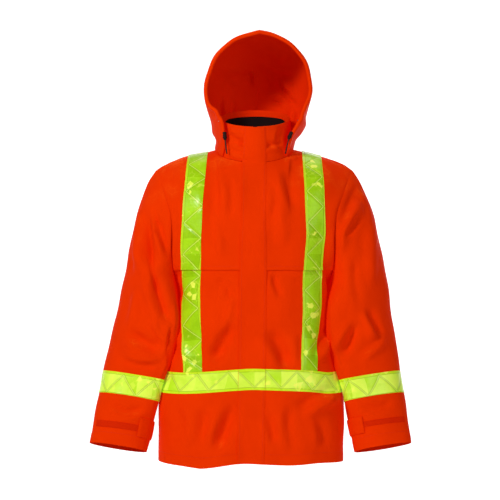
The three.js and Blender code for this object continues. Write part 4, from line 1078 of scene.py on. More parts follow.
flap_xs = np.linspace(-FLAP_HALF, FLAP_HALF, 15)
flap_cloth, flap_rows = strip_cloth(flap_xs)
loose = 1 - smoothstep(0, 14, flap_cloth.across())
stand = 0.5 + flap_lift(flap_cloth.points) + centre_relief(flap_cloth)
stand += loose * (0.9 + 0.6 * np.sin(flap_cloth.along() / 31) * np.sin(flap_cloth.along() / 77))
flap_cloth = flap_cloth.raised(stand)
flap_cloth.find_normals()
panel("flap_cloth", flap_cloth, ("right",), 0, ["storm_flap"], top=1.5, thickness=1.5)

# %% Zip teeth
def blocks_mesh(name, centres, ways, ups, size):
    """Small bevelled blocks in one mesh, each along its way. size is length, width, height."""
    unit_block = np.array([[sx * (0.5 if sz < 0 else 0.36), sy * (0.5 if sz < 0 else 0.3), sz]
                           for sz in (0, 1) for sy in (-1, 1) for sx in (-1, 1)], float)
    unit_block[:4, 2], unit_block[:4, :2] = 0, unit_block[:4, :2] * 1.2
    quads = np.array([[0, 2, 3, 1], [4, 5, 7, 6], [0, 1, 5, 4], [2, 6, 7, 3],
                      [0, 4, 6, 2], [1, 3, 7, 5]])
    sides = np.cross(ups, ways)
    verts = (centres[:, None] + unit_block[None, :, 0, None] * size[0] * ways[:, None]
             + unit_block[None, :, 1, None] * size[1] * sides[:, None]
             + unit_block[None, :, 2, None] * size[2] * ups[:, None])
    faces = (quads[None] + 8 * np.arange(len(centres))[:, None, None]).reshape(-1, 4)
    mesh = bpy.data.meshes.new(name)
    mesh.from_pydata((verts.reshape(-1, 3) * MM).tolist(), [], faces.tolist())
    mesh.update()
    piece = bpy.data.objects.new(name, mesh)
    bpy.context.scene.collection.objects.link(piece)
    pieces[name] = piece
    return piece


def line_samples(points, normals, pitch):
    lengths = np.r_[0, np.cumsum(np.linalg.norm(np.diff(points, axis=0), axis=1))]
    at = np.arange(pitch / 2, lengths[-1], pitch)
    centre = np.stack([np.interp(at, lengths, points[:, k]) for k in range(3)], 1)
    up = np.stack([np.interp(at, lengths, normals[:, k]) for k in range(3)], 1)
    ahead = np.stack([np.interp(at + 0.3, lengths, points[:, k]) for k in range(3)], 1)
    behind = np.stack([np.interp(at - 0.3, lengths, points[:, k]) for k in range(3)], 1)
    way = ahead - behind
    way /= np.linalg.norm(way, axis=1, keepdims=True) + 1e-12
    up -= way * (up * way).sum(1, keepdims=True)
    return centre, way, up / np.linalg.norm(up, axis=1, keepdims=True)


middle = (zip_cloth.points[:, 1] + zip_cloth.points[:, 2]) / 2
centre, way, up = line_samples(middle, zip_cloth.normals[:, 1], 2.6)
across = np.cross(up, way)
swing = np.where(np.arange(len(centre)) % 2 == 0, 0.55, -0.55)[:, None]
teeth = blocks_mesh("zip_teeth", centre + across * swing, way, up, (1.5, 3.2, 0.45))
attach(teeth, "root")
print("zip teeth", len(centre))

# %% [markdown]
# ## Collar and lining
# A stand collar with a high back, lined at the nape in black knit. Its top edge is folded
# over, so the shell grid runs over the edge and a little way down inside.

# %% Collar
COLLAR_LIFT = 0.5
LINING_TOP_SHARE, LINING_FROM_ANGLE = 0.84, 0.7
collar_angles = np.linspace(0.06, 2 * math.pi - 0.06, 113)
collar_ups = np.linspace(0, 1, 22)
ring = np.array([[collar_point(a, u) for a in collar_angles] for u in collar_ups])
ring[0, :, 2] += COLLAR_LIFT
collar_cloth = Cloth(ring, 1)
COLLAR_FOLDS = [
    (FRONT, seen([(230, 139), (245, 144), (262, 145)]), 6, -2.4, 0.6),
    (FRONT, seen([(258, 146), (272, 144), (284, 139)]), 6, -2.0, 0.6),
    (FRONT, seen([(228, 124), (236, 133), (248, 137)]), 6, 1.8, 0.4),
    (FRONT, seen([(224, 151), (240, 157), (258, 158)]), 6, 1.6, 0.4),
    (FRONT, seen([(284, 124), (279, 136), (282, 152)]), 6, -1.6, 0.5),
]
fold = relief(collar_cloth, COLLAR_FOLDS, facing=True)
fold += ripple(collar_cloth.points, 24, 0.5, 0.8) * np.linspace(0, 1, 22)[:, None]
collar_cloth = collar_cloth.raised(fold)
collar_cloth.find_normals()
inward = collar_cloth.points[-1] - collar_cloth.normals[-1] * 1.0
up = np.array([0, 0, 1.0])
roll = [inward + collar_cloth.normals[-1] * math.cos(t) + up * math.sin(t)
        for t in np.linspace(0.5, math.pi - 0.3, 4)]
inside = [collar_cloth.points[-k] - collar_cloth.normals[-k] * 1.9 for k in (2, 4, 6)]
rolled = Cloth(np.concatenate([collar_cloth.points, roll, inside]), 1)
collar_piece = panel("collar_cloth", rolled, (), 0, ["collar"], thickness=0.8)
# Every inward-looking face, the folded-over coated top too, takes the inside finish with its weaker
# painted glow: painted shade on the band under the hood.
collar_middle = np.mean([corner.co[:2] for corner in collar_piece.data.vertices], axis=0)
for face in collar_piece.data.polygons:
    outward = np.array(face.center[:2]) - collar_middle
    if outward @ np.array(face.normal[:2]) < 0:
        face.material_index = 1

lining_angles = np.linspace(LINING_FROM_ANGLE, 2 * math.pi - LINING_FROM_ANGLE, 73)
LINING_SIDE_SHARE = 0.3


def lining_top(angle):
    at_back = smoothstep(-0.15, 0.65, -math.cos(angle))
    return lerp(LINING_SIDE_SHARE, LINING_TOP_SHARE, at_back)


net = np.array([[collar_point(a, u * lining_top(a)) for a in lining_angles]
                for u in np.linspace(0, 1, 14)])
net[0, :, 2] += COLLAR_LIFT
lining_cloth = Cloth(net, 1)
lining_cloth = lining_cloth.raised(ripple(net, 18, 0.3, 1.1) - 0.3)
lining = panel("nape_lining", lining_cloth, (), 0, ["neck_lining"], top=-2.6, thickness=1.1)

# %% [markdown]
# ## Hood
# Two shaped halves meet in a centre seam. The front rim is a channel: the cloth is folded
# back inside over the drawcord, so the rim is a soft roll with a facing behind it. The grid
# therefore begins inside, rolls over the rim and then runs back over the head.

# %% Hood halves
HOOD_ROWS, HOOD_COLUMNS, RIM_RADIUS, FACING_ROWS = 64, 84, 3.6, 6
HOOD_FOLDS = {
    RIGHT: [
        (seen([(253, 58), (255, 68), (258, 78)]), 6, -3.5, 0.4),
        (seen([(216, 90), (215, 104), (219, 118)]), 5, 2.2, 0.8),
        (seen([(224, 86), (223, 102), (226, 116)]), 5, -2.2, 0.6),
        (seen([(234, 92), (232, 104), (234, 116)]), 5, 1.8, 0.6),
        (seen([(212, 60), (222, 70), (236, 78)]), 9, 2.2, 0.4),
        (seen([(207, 128), (212, 140), (214, 152)]), 7, -2.2, 0.5),
        (seen([(222, 62), (240, 59), (258, 57)]), 8, -2.4, 0.5),
    ],
    LEFT: [
        (seen([(282, 67), (291, 80), (303, 98)]), 7, -3.6, 0.7),
        (seen([(290, 99), (280, 93), (266, 92)]), 7, 2.4, 0.5),
        (seen([(262, 40), (276, 44), (290, 54)]), 9, -2.8, 0.5),
        (seen([(299, 100), (296, 114), (292, 126)]), 6, -2.2, 0.5),
        (seen([(306, 112), (302, 126), (296, 138)]), 8, 2.2, 0.4),
        (seen([(270, 60), (276, 72), (278, 84)]), 8, -1.8, 0.4),
        (seen([(257, 57), (276, 58), (301, 66)]), 8, -2.4, 0.5),
    ],
}
hood_cloths, rim_rows = {}, FACING_ROWS + 7
for side, word in SIDES:
    net = hood_net(side, HOOD_ROWS, HOOD_COLUMNS)
    cloth = Cloth(net, -side)
    fold = 3.4 * sum(fold_height(cloth.points, *rest) for rest in HOOD_FOLDS[side])
    fold += ripple(cloth.points, 30, 0.8, 0.5 + side)
    down = np.linspace(0, 1, HOOD_ROWS)[:, None]
    start, end = cloth.across(), cloth.across()[:, -1:] - cloth.across()
    fold *= smoothstep(0, 14, end) * smoothstep(0, 20, start) * (1 - smoothstep(0.88, 1, down))
    cloth = cloth.raised(fold)
    cloth.find_normals()
    p, n = cloth.points, cloth.normals
    radius = (RIM_RADIUS * smoothstep(0, 55, cloth.across()[0]) + 0.5)[:, None]
    ahead = p[0] - p[1]
    ahead /= np.linalg.norm(ahead, axis=1, keepdims=True)
    facing = [p[k] - lerp(2 * radius, 1.4, smoothstep(0, FACING_ROWS, k)) * n[k]
              for k in range(FACING_ROWS, 0, -1)]
    turns = [p[0] - radius * n[0] + radius * (n[0] * math.cos(t) + ahead * math.sin(t))
             for t in np.linspace(math.pi, 0, 8)[:-1]]
    channel = Cloth(np.concatenate([facing, turns, p]), -side)
    stitched = channel.along() - channel.along()[rim_rows]
    groove = -0.5 * np.exp(-((stitched - 19) / 2.2) ** 2)
    groove = groove + 0.5 * smoothstep(0, 5, stitched) * (1 - smoothstep(14, 19, stitched))
    groove[:rim_rows] = 0
    seam_at = channel.across()[:, -1:] - channel.across()
    groove -= 0.8 * np.exp(-(seam_at / 2.4) ** 2)
    channel.normals[:, -1, 0] = 0
    channel.normals /= np.linalg.norm(channel.normals, axis=2, keepdims=True)
    closed = channel.raised(groove)
    closed.points[:, -1, 0] = value_at(HOOD_LEAN, "z", closed.points[:, -1, 2], "shift") \
        - side * 0.25
    hood_cloths[side] = closed
    panel(f"hood_cloth_{word}", hood_cloths[side], (), 0, [f"hood_{word}"], thickness=1.0, gap=0.0)

# %% [markdown]
# ## Reflective tape
# Glossy vinyl tape 51 mm wide is welded flat onto the cloth: a strip down each side of the
# chest and back, a belt round the waist and a band on each sleeve. Each strip is cut from the
# points of the cloth that it lies on and moved out, so it follows every fold.

# %% Lay the tape
TAPE_THICKNESS, TAPE_BASE = 0.8, 0.15


def tape_crinkle(cloth, seed, strength=0.35):
    """Small stiff creases of vinyl, strongest where the strip bends."""
    along, across = cloth.along(), cloth.across()
    across = across[:, :-1] if cloth.closed else across
    wave = np.sin(along / 4.3 + across / 9 + seed) * np.sin(along / 11 - across / 13 + 2 * seed)
    gate = smoothstep(0.1, 0.9, np.sin(along / 37 + seed) * np.sin(across / 61 + seed * 3))
    return strength * wave * (0.35 + gate)


def tape(name, cloth, nodes, long_way="along", seed=1.0, base=TAPE_BASE, strength=0.35):
    """long_way says whether the strip's length runs up the grid or across it."""
    laid = drawn_back(cloth.raised(tape_crinkle(cloth, seed, strength)), 0.15)
    piece = shell_mesh(name, laid, base + TAPE_THICKNESS, base)
    layer = piece.data.uv_layers["UVMap"].data
    uv = np.empty(len(layer) * 2)
    layer.foreach_get("uv", uv)
    uv = uv.reshape(-1, 2)
    if long_way == "across":
        uv = uv[:, ::-1].copy()
    layer.foreach_set("uv", uv.ravel())
    pieces[name] = piece
    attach(piece, "root")
    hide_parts(*nodes)
    sizes[name] = cloth.size()
    print(name, "width", round(float(np.ptp(uv[:, 0])), 4), "length",
          round(float(np.ptp(uv[:, 1])), 3))
    return piece


def body_columns(side, first, last):
    steps = half_marks[side]
    if side == RIGHT:
        return steps[COLUMN_END - last], steps[COLUMN_END - first]
    return steps[first], steps[last]


belt_rows = (row_at[ROW_BELT_BOTTOM], row_at[ROW_BELT_TOP])
back_marks = marks(np.r_[back_half_steps[::-1], back_half_steps])
for side, word in SIDES:
    columns = body_columns(side, COLUMN_TAPE_IN, COLUMN_TAPE_OUT)
    whole, yoke = fronts[side], yokes[side]
    tape(f"tape_on_yoke_{word}", yoke.cut((0, yoke.points.shape[0] - 1), columns),
         [f"tape_chest_{word}"], seed=1.0 + side)
    tape(f"tape_below_yoke_{word}", whole.cut((row_at[ROW_BELT_TOP], row_at[ROW_YOKE]), columns),
         [f"tape_front_{word}"], seed=2.0 + side)
    near = (COLUMN_END - COLUMN_TAPE_OUT, COLUMN_END - COLUMN_TAPE_IN) if side == RIGHT else \
        (COLUMN_END + COLUMN_TAPE_IN, COLUMN_END + COLUMN_TAPE_OUT)
    tape(f"tape_down_back_{word}",
         back.cut((row_at[ROW_BELT_TOP], row_at[TOP_ROW]), (back_marks[near[0]], back_marks[near[1]])),
         [f"tape_back_{word}"], seed=3.0 + side)
    ends = (half_marks[side][0], half_marks[side][COLUMN_END - 1]) if side == RIGHT else \
        (half_marks[side][1], half_marks[side][COLUMN_END])
    tape(f"waist_tape_{word}", whole.cut(belt_rows, ends), [f"belt_front_{word}"], "across",
         seed=4.0 + side, strength=0.6)
    sleeve = sleeves[side]
    rows = [sleeve_rows[side][CAP_STEPS + 1 + place] for place in BAND_PLACES]
    band = sleeve.cut(rows, (0, sleeve.points.shape[1]))
    band.closed = True
    tape(f"sleeve_tape_{word}", band, [f"sleeve_band_{word}"], "across", seed=5.0 + side)
tape("waist_tape_back", back.cut(belt_rows, (0, back.points.shape[1] - 1)), ["belt_back"],
     "across", seed=6.0)
flap_last = flap_cloth.points.shape[1] - 1
flap_belt = flap_cloth.cut((flap_rows[ROW_BELT_BOTTOM], flap_rows[ROW_BELT_TOP]), (0, flap_last))
tape("waist_tape_flap", flap_belt, ["belt_flap"], "across", seed=7.0, base=1.5 + TAPE_BASE,
     strength=0.45)

# %% [markdown]
# ## Cuff tabs and loop strips
# At each cuff a tab of shell cloth closes onto a fuzzy strip of loop tape. The strip is one
# wide band across the front of the sleeve, and the tab comes round the inner side.

# %% Tabs and strips
def sleeve_part(side, places, from_angle, to_angle):
    angles = sleeve_nets[side][1]
    up = row_steps[ROW_UNDERARM:]
    column_marks = marks(np.r_[up, up[::-1]])
    total = column_marks[-1]

    def nearest(degrees):
        gap = np.abs(angles - math.radians(degrees)) % (2 * math.pi)
        return int(np.argmin(np.minimum(gap, 2 * math.pi - gap)))

    first, last = nearest(from_angle), nearest(to_angle)
    start, end = column_marks[first], column_marks[last]
    if end < start:
        end += total
    columns = np.arange(start, end + 1) % total
    r0, r1 = (sleeve_rows[side][CAP_STEPS + 1 + place] for place in places)
    part = Cloth.__new__(Cloth)
    part.points = sleeves[side].points[r0:r1 + 1][:, columns].copy()
    part.normals = sleeves[side].normals[r0:r1 + 1][:, columns].copy()
    part.turn, part.closed = sleeves[side].turn, False
    return part


for side, word in SIDES:
    strip = sleeve_part(side, STRIP_PLACES, 57, 149)
    piece = shell_mesh(f"loop_tape_{word}", drawn_back(strip, 0.15), 1.35, 0.2)
    pieces[piece.name] = piece
    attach(piece, "root")
    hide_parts(f"loop_strip_{word}")
    tab = sleeve_part(side, TAB_PLACES, -62, 57)
    puff = 0.5 * np.sin(math.pi * np.linspace(0, 1, tab.points.shape[0]))[:, None]
    lift = puff + 1.6 * smoothstep(0.6, 1, np.linspace(0, 1, tab.points.shape[1]))[None, :]
    tab = tab.raised(lift)
    edge_dip = seam_relief(tab, ("left", "right", "bottom", "top"), 0.9, 2.4, 0.0)
    panel(f"tab_{word}", tab.raised(edge_dip), (), 0, [f"cuff_tab_{word}"], top=3.0,
          thickness=2.4)


# %% [markdown]
# ## Cord locks and eyelets
# A lock is a moulded barrel with a grooved middle, and an eyelet is a rolled metal ring. Both
# are turned shapes, so each is a profile spun round the cord's line.

# %% Spin a profile round the cord
def spun(name, profile, at, way, segments=28, grooves=0, groove_depth=0.0):
    way = unit(way)
    side_way = unit(np.cross(way, [0.3, 1, 0.2]))
    other = np.cross(way, side_way)
    turns = np.linspace(0, 2 * math.pi, segments, endpoint=False)
    profile = np.array(profile, float)
    radius = profile[:, :1] - groove_depth * profile[:, 2:3] * (
        np.cos(turns * grooves)[None] > 0.4 if grooves else 0)
    verts = (at + profile[:, None, 1:2] * way
             + radius[..., None] * (np.cos(turns)[None, :, None] * side_way
                                    + np.sin(turns)[None, :, None] * other))
    count = len(profile)
    ids = np.arange(count * segments).reshape(count, segments)
    nxt = np.roll(ids, -1, 1)
    faces = [q for r in range(count) for q in
             np.stack([ids[r], nxt[r], nxt[(r + 1) % count], ids[(r + 1) % count]], 1).tolist()]
    mesh = bpy.data.meshes.new(name)
    mesh.from_pydata((verts.reshape(-1, 3) * MM).tolist(), [], faces)
    mesh.update()
    mesh.shade_smooth()
    mesh.set_sharp_from_angle(angle=math.radians(45))
    piece = bpy.data.objects.new(name, mesh)
    bpy.context.scene.collection.objects.link(piece)
    pieces[name] = piece
    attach(piece, "root")
    return piece


LOCK_PROFILE = [[1.7, -9, 0], [3.9, -9, 0], [4.8, -8.2, 0], [5, -7.2, 0], [5, -4.6, 1],
                [4.5, -4.2, 1], [4.5, 1.8, 1], [5, 2.2, 1], [5, 4.4, 0], [4.6, 5.2, 0],
                [3.6, 5.4, 0], [3.5, 8.2, 0], [3.1, 9, 0], [1.7, 9, 0]]
EYELET_PROFILE = [[2 + 1.0 + 1.0 * math.cos(a), 0.9 * math.sin(a), 0]
                  for a in np.linspace(0, 2 * math.pi, 12, endpoint=False)]
for side, word in SIDES:
    route = cord_routes[word]
    spots = evenly(route, [0.04, 0.05, 0.5, 0.51])
    lock = spun(f"barrel_lock_{word}", LOCK_PROFILE, spots[2], spots[3] - spots[2], 32, 16, 0.35)
    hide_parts(f"cord_lock_{word}")
    eyelet = spun(f"eyelet_{word}", EYELET_PROFILE, spots[0], spots[1] - spots[0], 32)
    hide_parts(f"cord_eyelet_{word}")
    tail = evenly(route, [0.985, 1.0])
    bead = spun(f"cord_end_{word}",
                [[0.05, 1.1, 0], [0.9, 0.9, 0], [1.55, 0.3, 0], [1.62, -0.6, 0], [1.5, -2.4, 0],
                 [0.05, -2.4, 0]], tail[1], tail[1] - tail[0], 16)
    cord = cords[word]
    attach(cord, "root")
    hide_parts(f"hood_cord_{word}")
    line = evenly(route, np.linspace(0, 1, 25)) * MM
    length = float(np.linalg.norm(np.diff(line, axis=0), axis=1).sum())
    print(f"cord {word}: {length * 1000:.1f} mm long")

# %% [markdown]
# ## Stitches
# Lockstitches hold the hems, flap, yoke and rim. Each is a small thread lozenge that lies on
# the cloth, laid along a row of the grid at a 3.2 mm pitch. A bump pattern would be cheaper,
# but would not follow an edge that the UV map cuts across.

# %% Rows of stitches
STITCH_PITCH, STITCH_LENGTH, THREAD = 3.2, 2.3, 0.32
thread_lines = []


def stitch_line(cloth, top, row=None, column=None):
    p = cloth.points[row] if row is not None else cloth.points[:, column]
    n = cloth.normals[row] if row is not None else cloth.normals[:, column]
    thread_lines.append((p + n * (top + 0.05), n))


def row_near(cloth, distance, from_end=False):
    along = cloth.along().mean(1)
    target = along[-1] - distance if from_end else distance
    return int(np.argmin(np.abs(along - target)))


def column_near(cloth, distance, from_end=False):
    across = cloth.across().mean(0)
    target = across[-1] - distance if from_end else distance
    return min(int(np.argmin(np.abs(across - target))), cloth.points.shape[1] - 1)


for side, word in SIDES:
    whole = fronts[side]
    stitch_line(whole, 0.3, row=row_near(whole, HEM_FOLD))
    stitch_line(yokes[side], 0.0, row=row_near(yokes[side], 9))
    from_outer = side == LEFT
    stitch_line(whole.cut((0, row_at[ROW_YOKE] - 1), (0, whole.points.shape[1] - 1)), 0.0,
                column=column_near(whole, 7, from_outer))
    sleeve = sleeves[side]
    ring_row = row_near(sleeve, CUFF_FOLD, True)
    closed_row = np.concatenate([sleeve.points[ring_row], sleeve.points[ring_row, :1]])
    closed_normal = np.concatenate([sleeve.normals[ring_row], sleeve.normals[ring_row, :1]])
    thread_lines.append((closed_row + closed_normal * 0.3, closed_normal))
    hood = hood_cloths[side]
    stitch_line(hood, 0.1, row=rim_rows + row_near(hood, 19 + float(
        hood.along()[rim_rows].mean())) - rim_rows)
stitch_line(back, 0.3, row=row_near(back, HEM_FOLD))
stitch_line(flap_cloth, 1.5, column=column_near(flap_cloth, 6))
stitch_line(flap_cloth, 1.5, column=column_near(flap_cloth, 6, True))
stitch_line(collar_cloth, 0.0, row=row_near(collar_cloth, 6, True))
centres, ways, ups = [], [], []
for points, normals in thread_lines:
    c, w, u = line_samples(points, normals, STITCH_PITCH)
    centres.append(c)
    ways.append(w)
    ups.append(u)
centres, ways, ups = (np.concatenate(x) for x in (centres, ways, ups))
threads = blocks_mesh("stitches", centres, ways, ups, (STITCH_LENGTH, THREAD * 1.6, THREAD))
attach(threads, "root")
print("stitches", len(centres))

# %% [markdown]
# ## Shared effects
# Cloth, tape and lining share a few surface effects: a weave, slow colour mottle and fine
# crumple. Each is a node group that gives only a mask or a height, and the shaders stay in
# the materials, where gloss and sheen are set directly.

# %% Node helpers
def node(tree, kind, inputs=None, **settings):
    made = tree.nodes.new(kind)
    for key, value in settings.items():
        setattr(made, key, value)
    for key, value in (inputs or {}).items():
        if isinstance(value, bpy.types.NodeSocket):
            tree.links.new(value, made.inputs[key])
        else:
            made.inputs[key].default_value = value
    return made


def maths(tree, operation, a, b=0.5, c=0.0):
    return node(tree, "ShaderNodeMath", {0: a, 1: b, 2: c}, operation=operation).outputs[0]


def effect(name, inputs, outputs):
    group = bpy.data.node_groups.new(name, "ShaderNodeTree")
    for label, value in inputs.items():
        kind = "NodeSocketColor" if isinstance(value, tuple) else "NodeSocketFloat"
        group.interface.new_socket(name=label, in_out="INPUT", socket_type=kind).default_value = value
    for label in outputs:
        group.interface.new_socket(name=label, in_out="OUTPUT", socket_type="NodeSocketFloat")
    return group, group.nodes.new("NodeGroupInput"), group.nodes.new("NodeGroupOutput")


def use(tree, group, **values):
    made = tree.nodes.new("ShaderNodeGroup")
    made.node_tree = group
    for key, value in values.items():
        made.inputs[key].default_value = value
    return made


print("node helpers ready")

# %% Weave
weave, start, end = effect("plain_weave", {"Pitch": 0.0007}, ["Height"])
uv = node(weave, "ShaderNodeUVMap", uv_map="UVMap").outputs[0]
axes = node(weave, "ShaderNodeSeparateXYZ", {0: uv})
turns = maths(weave, "DIVIDE", 2 * math.pi, start.outputs["Pitch"])
across = maths(weave, "SINE", maths(weave, "MULTIPLY", axes.outputs[0], turns))
along = maths(weave, "SINE", maths(weave, "MULTIPLY", axes.outputs[1], turns))
over = maths(weave, "MULTIPLY", across, along)
weave.links.new(maths(weave, "MULTIPLY_ADD", over, 0.5, 0.5), end.inputs["Height"])
print("weave pitch 0.7 mm")

# %% Mottle and crumple
mottle, start, end = effect("slow_mottle", {"Size": 12.0, "Contrast": 1.0}, ["Mask"])
place = node(mottle, "ShaderNodeTexCoord").outputs["Object"]
cloud = node(mottle, "ShaderNodeTexNoise", {"Vector": place, "Detail": 3.0, "Roughness": 0.5})
mottle.links.new(start.outputs["Size"], cloud.inputs["Scale"])
centred = maths(mottle, "SUBTRACT", cloud.outputs[0], 0.5)
spread = maths(mottle, "MULTIPLY_ADD", centred, start.outputs["Contrast"], 0.5)
mottle.links.new(node(mottle, "ShaderNodeClamp", {0: spread}).outputs[0], end.inputs["Mask"])

crumple, start, end = effect("fine_crumple", {"Size": 40.0, "Sharpness": 0.5}, ["Height"])
place = node(crumple, "ShaderNodeTexCoord").outputs["Object"]
soft = node(crumple, "ShaderNodeTexNoise", {"Vector": place, "Detail": 2.0, "Distortion": 0.6})
crumple.links.new(start.outputs["Size"], soft.inputs["Scale"])
ridge = maths(crumple, "ABSOLUTE", maths(crumple, "SUBTRACT", soft.outputs[0], 0.5))
ridge = maths(crumple, "SUBTRACT", 0.5, ridge)
mixed = node(crumple, "ShaderNodeMix", {0: start.outputs["Sharpness"], 2: soft.outputs[0],
                                        3: ridge})
crumple.links.new(mixed.outputs[0], end.inputs["Height"])

stiff, start, end = effect("stiff_creases", {"Size": 55.0}, ["Line", "Height", "Facet"])
place = node(stiff, "ShaderNodeTexCoord").outputs["Object"]
cells = node(stiff, "ShaderNodeTexVoronoi", {"Vector": place}, feature="DISTANCE_TO_EDGE")
stiff.links.new(start.outputs["Size"], cells.inputs["Scale"])
line = node(stiff, "ShaderNodeMapRange", {0: cells.outputs["Distance"], 1: 0.015, 2: 0.055, 3: 1.0,
                                          4: 0.0})
stiff.links.new(line.outputs[0], end.inputs["Line"])
stiff.links.new(maths(stiff, "MINIMUM", cells.outputs["Distance"], 0.3), end.inputs["Height"])
same = node(stiff, "ShaderNodeTexVoronoi", {"Vector": place})
stiff.links.new(start.outputs["Size"], same.inputs["Scale"])
shade = node(stiff, "ShaderNodeSeparateColor", {0: same.outputs["Color"]})
stiff.links.new(shade.outputs[0], end.inputs["Facet"])
print("mottle, crumple and crease groups ready")

# %% [markdown]
# ## Coated cloth
# The outside is a satin polyurethane coat over a fine plain weave, in a fluorescent dye that
# looks lit from within. A little emission in the same colour stands for that fluorescence, and
# is also a painted glow that lifts the shaded parts as much as the lit ones. Inside, the uncoated
# weave shows, duller and rougher, with a weaker painted glow; loop tape and thread glow too.

# %% Cloth materials
def material(name):
    made = bpy.data.materials.new(name)
    made.use_nodes = True
    made.node_tree.nodes.clear()
    tree = made.node_tree
    shader = node(tree, "ShaderNodeBsdfPrincipled")
    out = node(tree, "ShaderNodeOutputMaterial")
    tree.links.new(shader.outputs[0], out.inputs[0])
    return made, tree, shader


def tone(tree, mask, dark, bright):
    mixed = node(tree, "ShaderNodeMix", {0: mask}, data_type="RGBA")
    mixed.inputs[6].default_value = (*dark, 1)
    mixed.inputs[7].default_value = (*bright, 1)
    return mixed.outputs[2]


def bump(tree, height, strength, distance, normal=None):
    made = node(tree, "ShaderNodeBump", {"Height": height, "Strength": strength,
                                         "Distance": distance})
    if normal is not None:
        tree.links.new(normal, made.inputs["Normal"])
    return made.outputs[0]


PAINTED_GLOW_COLOUR = (1.0, 0.004, 0.0, 1)


def painted_crinkle_highlight(tree, colour, strength):
    """Painted highlight: pale streaks mixed into the colour where the coat is crinkled and faces up, as
    along the top of the shoulders.
    """
    facing = node(tree, "ShaderNodeSeparateXYZ", {0: node(tree, "ShaderNodeTexCoord").outputs["Normal"]})
    up = node(tree, "ShaderNodeMapRange", {0: facing.outputs[2], 1: 0.35, 2: 0.8, 3: 0.0, 4: strength})
    line = use(tree, stiff, Size=70.0).outputs["Line"]
    spots = use(tree, mottle, Size=15.0, Contrast=7.0).outputs["Mask"]
    share = maths(tree, "MULTIPLY", up.outputs[0], maths(tree, "MULTIPLY_ADD", line, 0.6, 0.3))
    mixed = node(tree, "ShaderNodeMix", {0: maths(tree, "MULTIPLY", share, spots), 6: colour},
                 data_type="RGBA")
    mixed.inputs[7].default_value = (1.0, 0.22, 0.014, 1)
    return mixed.outputs[2]


def cloth_material(name, dark, bright, rough, painted_glow, pitch, weave_strength, crumple_strength,
                   painted_shoulder_highlight=0):
    made, tree, shader = material(name)
    mask = use(tree, mottle, Size=9.0, Contrast=1.6).outputs["Mask"]
    colour = tone(tree, mask, dark, bright)
    # Painted highlight on the up-facing crinkles of the coat.
    if painted_shoulder_highlight:
        colour = painted_crinkle_highlight(tree, colour, painted_shoulder_highlight)
    tree.links.new(colour, shader.inputs["Base Color"])
    tree.links.new(maths(tree, "MULTIPLY_ADD", mask, 0.14, rough), shader.inputs["Roughness"])
    folds = use(tree, crumple, Size=26.0, Sharpness=0.35).outputs["Height"]
    normal = bump(tree, folds, crumple_strength, 0.004)
    threads_height = use(tree, weave, Pitch=pitch).outputs["Height"]
    normal = bump(tree, threads_height, weave_strength, 0.0002, normal)
    tree.links.new(normal, shader.inputs["Normal"])
    # Emission in the cloth's own colour: a painted glow, standing in part for the fluorescence.
    if painted_glow:
        shader.inputs["Emission Color"].default_value = PAINTED_GLOW_COLOUR
        shader.inputs["Emission Strength"].default_value = painted_glow
    return made, shader


shell_finish, shader = cloth_material("coated_cloth", (0.62, 0.030, 0.0002), (0.70, 0.037, 0.0004),
                                      0.52, 0.17, 0.0007, 0.25, 0.5, painted_shoulder_highlight=0.55)
shader.inputs["Specular IOR Level"].default_value = 0.008
shader.inputs["Specular Tint"].default_value = (1.0, 0.30, 0.06, 1)
inside_finish, shader = cloth_material("cloth_inside", (0.60, 0.022, 0.0003), (0.68, 0.030, 0.0004),
                                       0.72, 0.09, 0.0007, 0.4, 0.4)
shader.inputs["Specular IOR Level"].default_value = 0.01
lining_finish, shader = cloth_material("nape_knit", (0.006, 0.003, 0.003), (0.012, 0.005, 0.005),
                                       0.85, 0, 0.0016, 0.6, 0.3)
shader.inputs["Specular IOR Level"].default_value = 0.1
strip_finish, shader = cloth_material("loop_pile", (0.42, 0.016, 0.0003), (0.50, 0.022, 0.0005),
                                      0.8, 0.22, 0.0011, 0.9, 0.5)
shader.inputs["Specular IOR Level"].default_value = 0.02
shader.inputs["Sheen Weight"].default_value = 0.05
shader.inputs["Sheen Tint"].default_value = (0.9, 0.1, 0.01, 1)
thread_finish, shader = cloth_material("thread", (0.42, 0.012, 0.0005), (0.50, 0.020, 0.0008),
                                       0.6, 0.2, 0.0004, 0.3, 0.1)
print("cloth finishes:", shell_finish.name, inside_finish.name)

# %% [markdown]
# ## Tape vinyl
# The tape is clear vinyl over tiny prisms. Smooth welded borders run along both edges, and
# between them weld lines zigzag from border to border, about 72 mm to a full turn. The cells
# between the welds are slightly puffed. All of it follows the tape's UV map in metres.

# %% Zigzag welds
zigzag, start, end = effect("zigzag_welds", {"Width": 0.05, "Border": 0.0055, "Turn": 0.072},
                            ["Weld", "PaintedGrooveShade", "Border", "Prism", "Puff", "Facet"])
uv = node(zigzag, "ShaderNodeUVMap", uv_map="UVMap").outputs[0]
axes = node(zigzag, "ShaderNodeSeparateXYZ", {0: uv})
width, border, turn = (start.outputs[k] for k in ("Width", "Border", "Turn"))
across, along = axes.outputs[0], axes.outputs[1]
from_edge = maths(zigzag, "MINIMUM", across, maths(zigzag, "SUBTRACT", width, across))
share = maths(zigzag, "DIVIDE", maths(zigzag, "SUBTRACT", across, border),
              maths(zigzag, "SUBTRACT", width, maths(zigzag, "MULTIPLY", border, 2.0)))
place = maths(zigzag, "FRACT", maths(zigzag, "DIVIDE", along, turn))
wave = maths(zigzag, "ABSOLUTE", maths(zigzag, "MULTIPLY_ADD", place, 2.0, -1.0))
off = maths(zigzag, "ABSOLUTE", maths(zigzag, "SUBTRACT", share, wave))
in_metres = maths(zigzag, "MULTIPLY", off, 0.027)
cell = maths(zigzag, "FLOOR", maths(zigzag, "MULTIPLY", maths(zigzag, "DIVIDE", along, turn), 2.0))
beyond = maths(zigzag, "GREATER_THAN", share, wave)
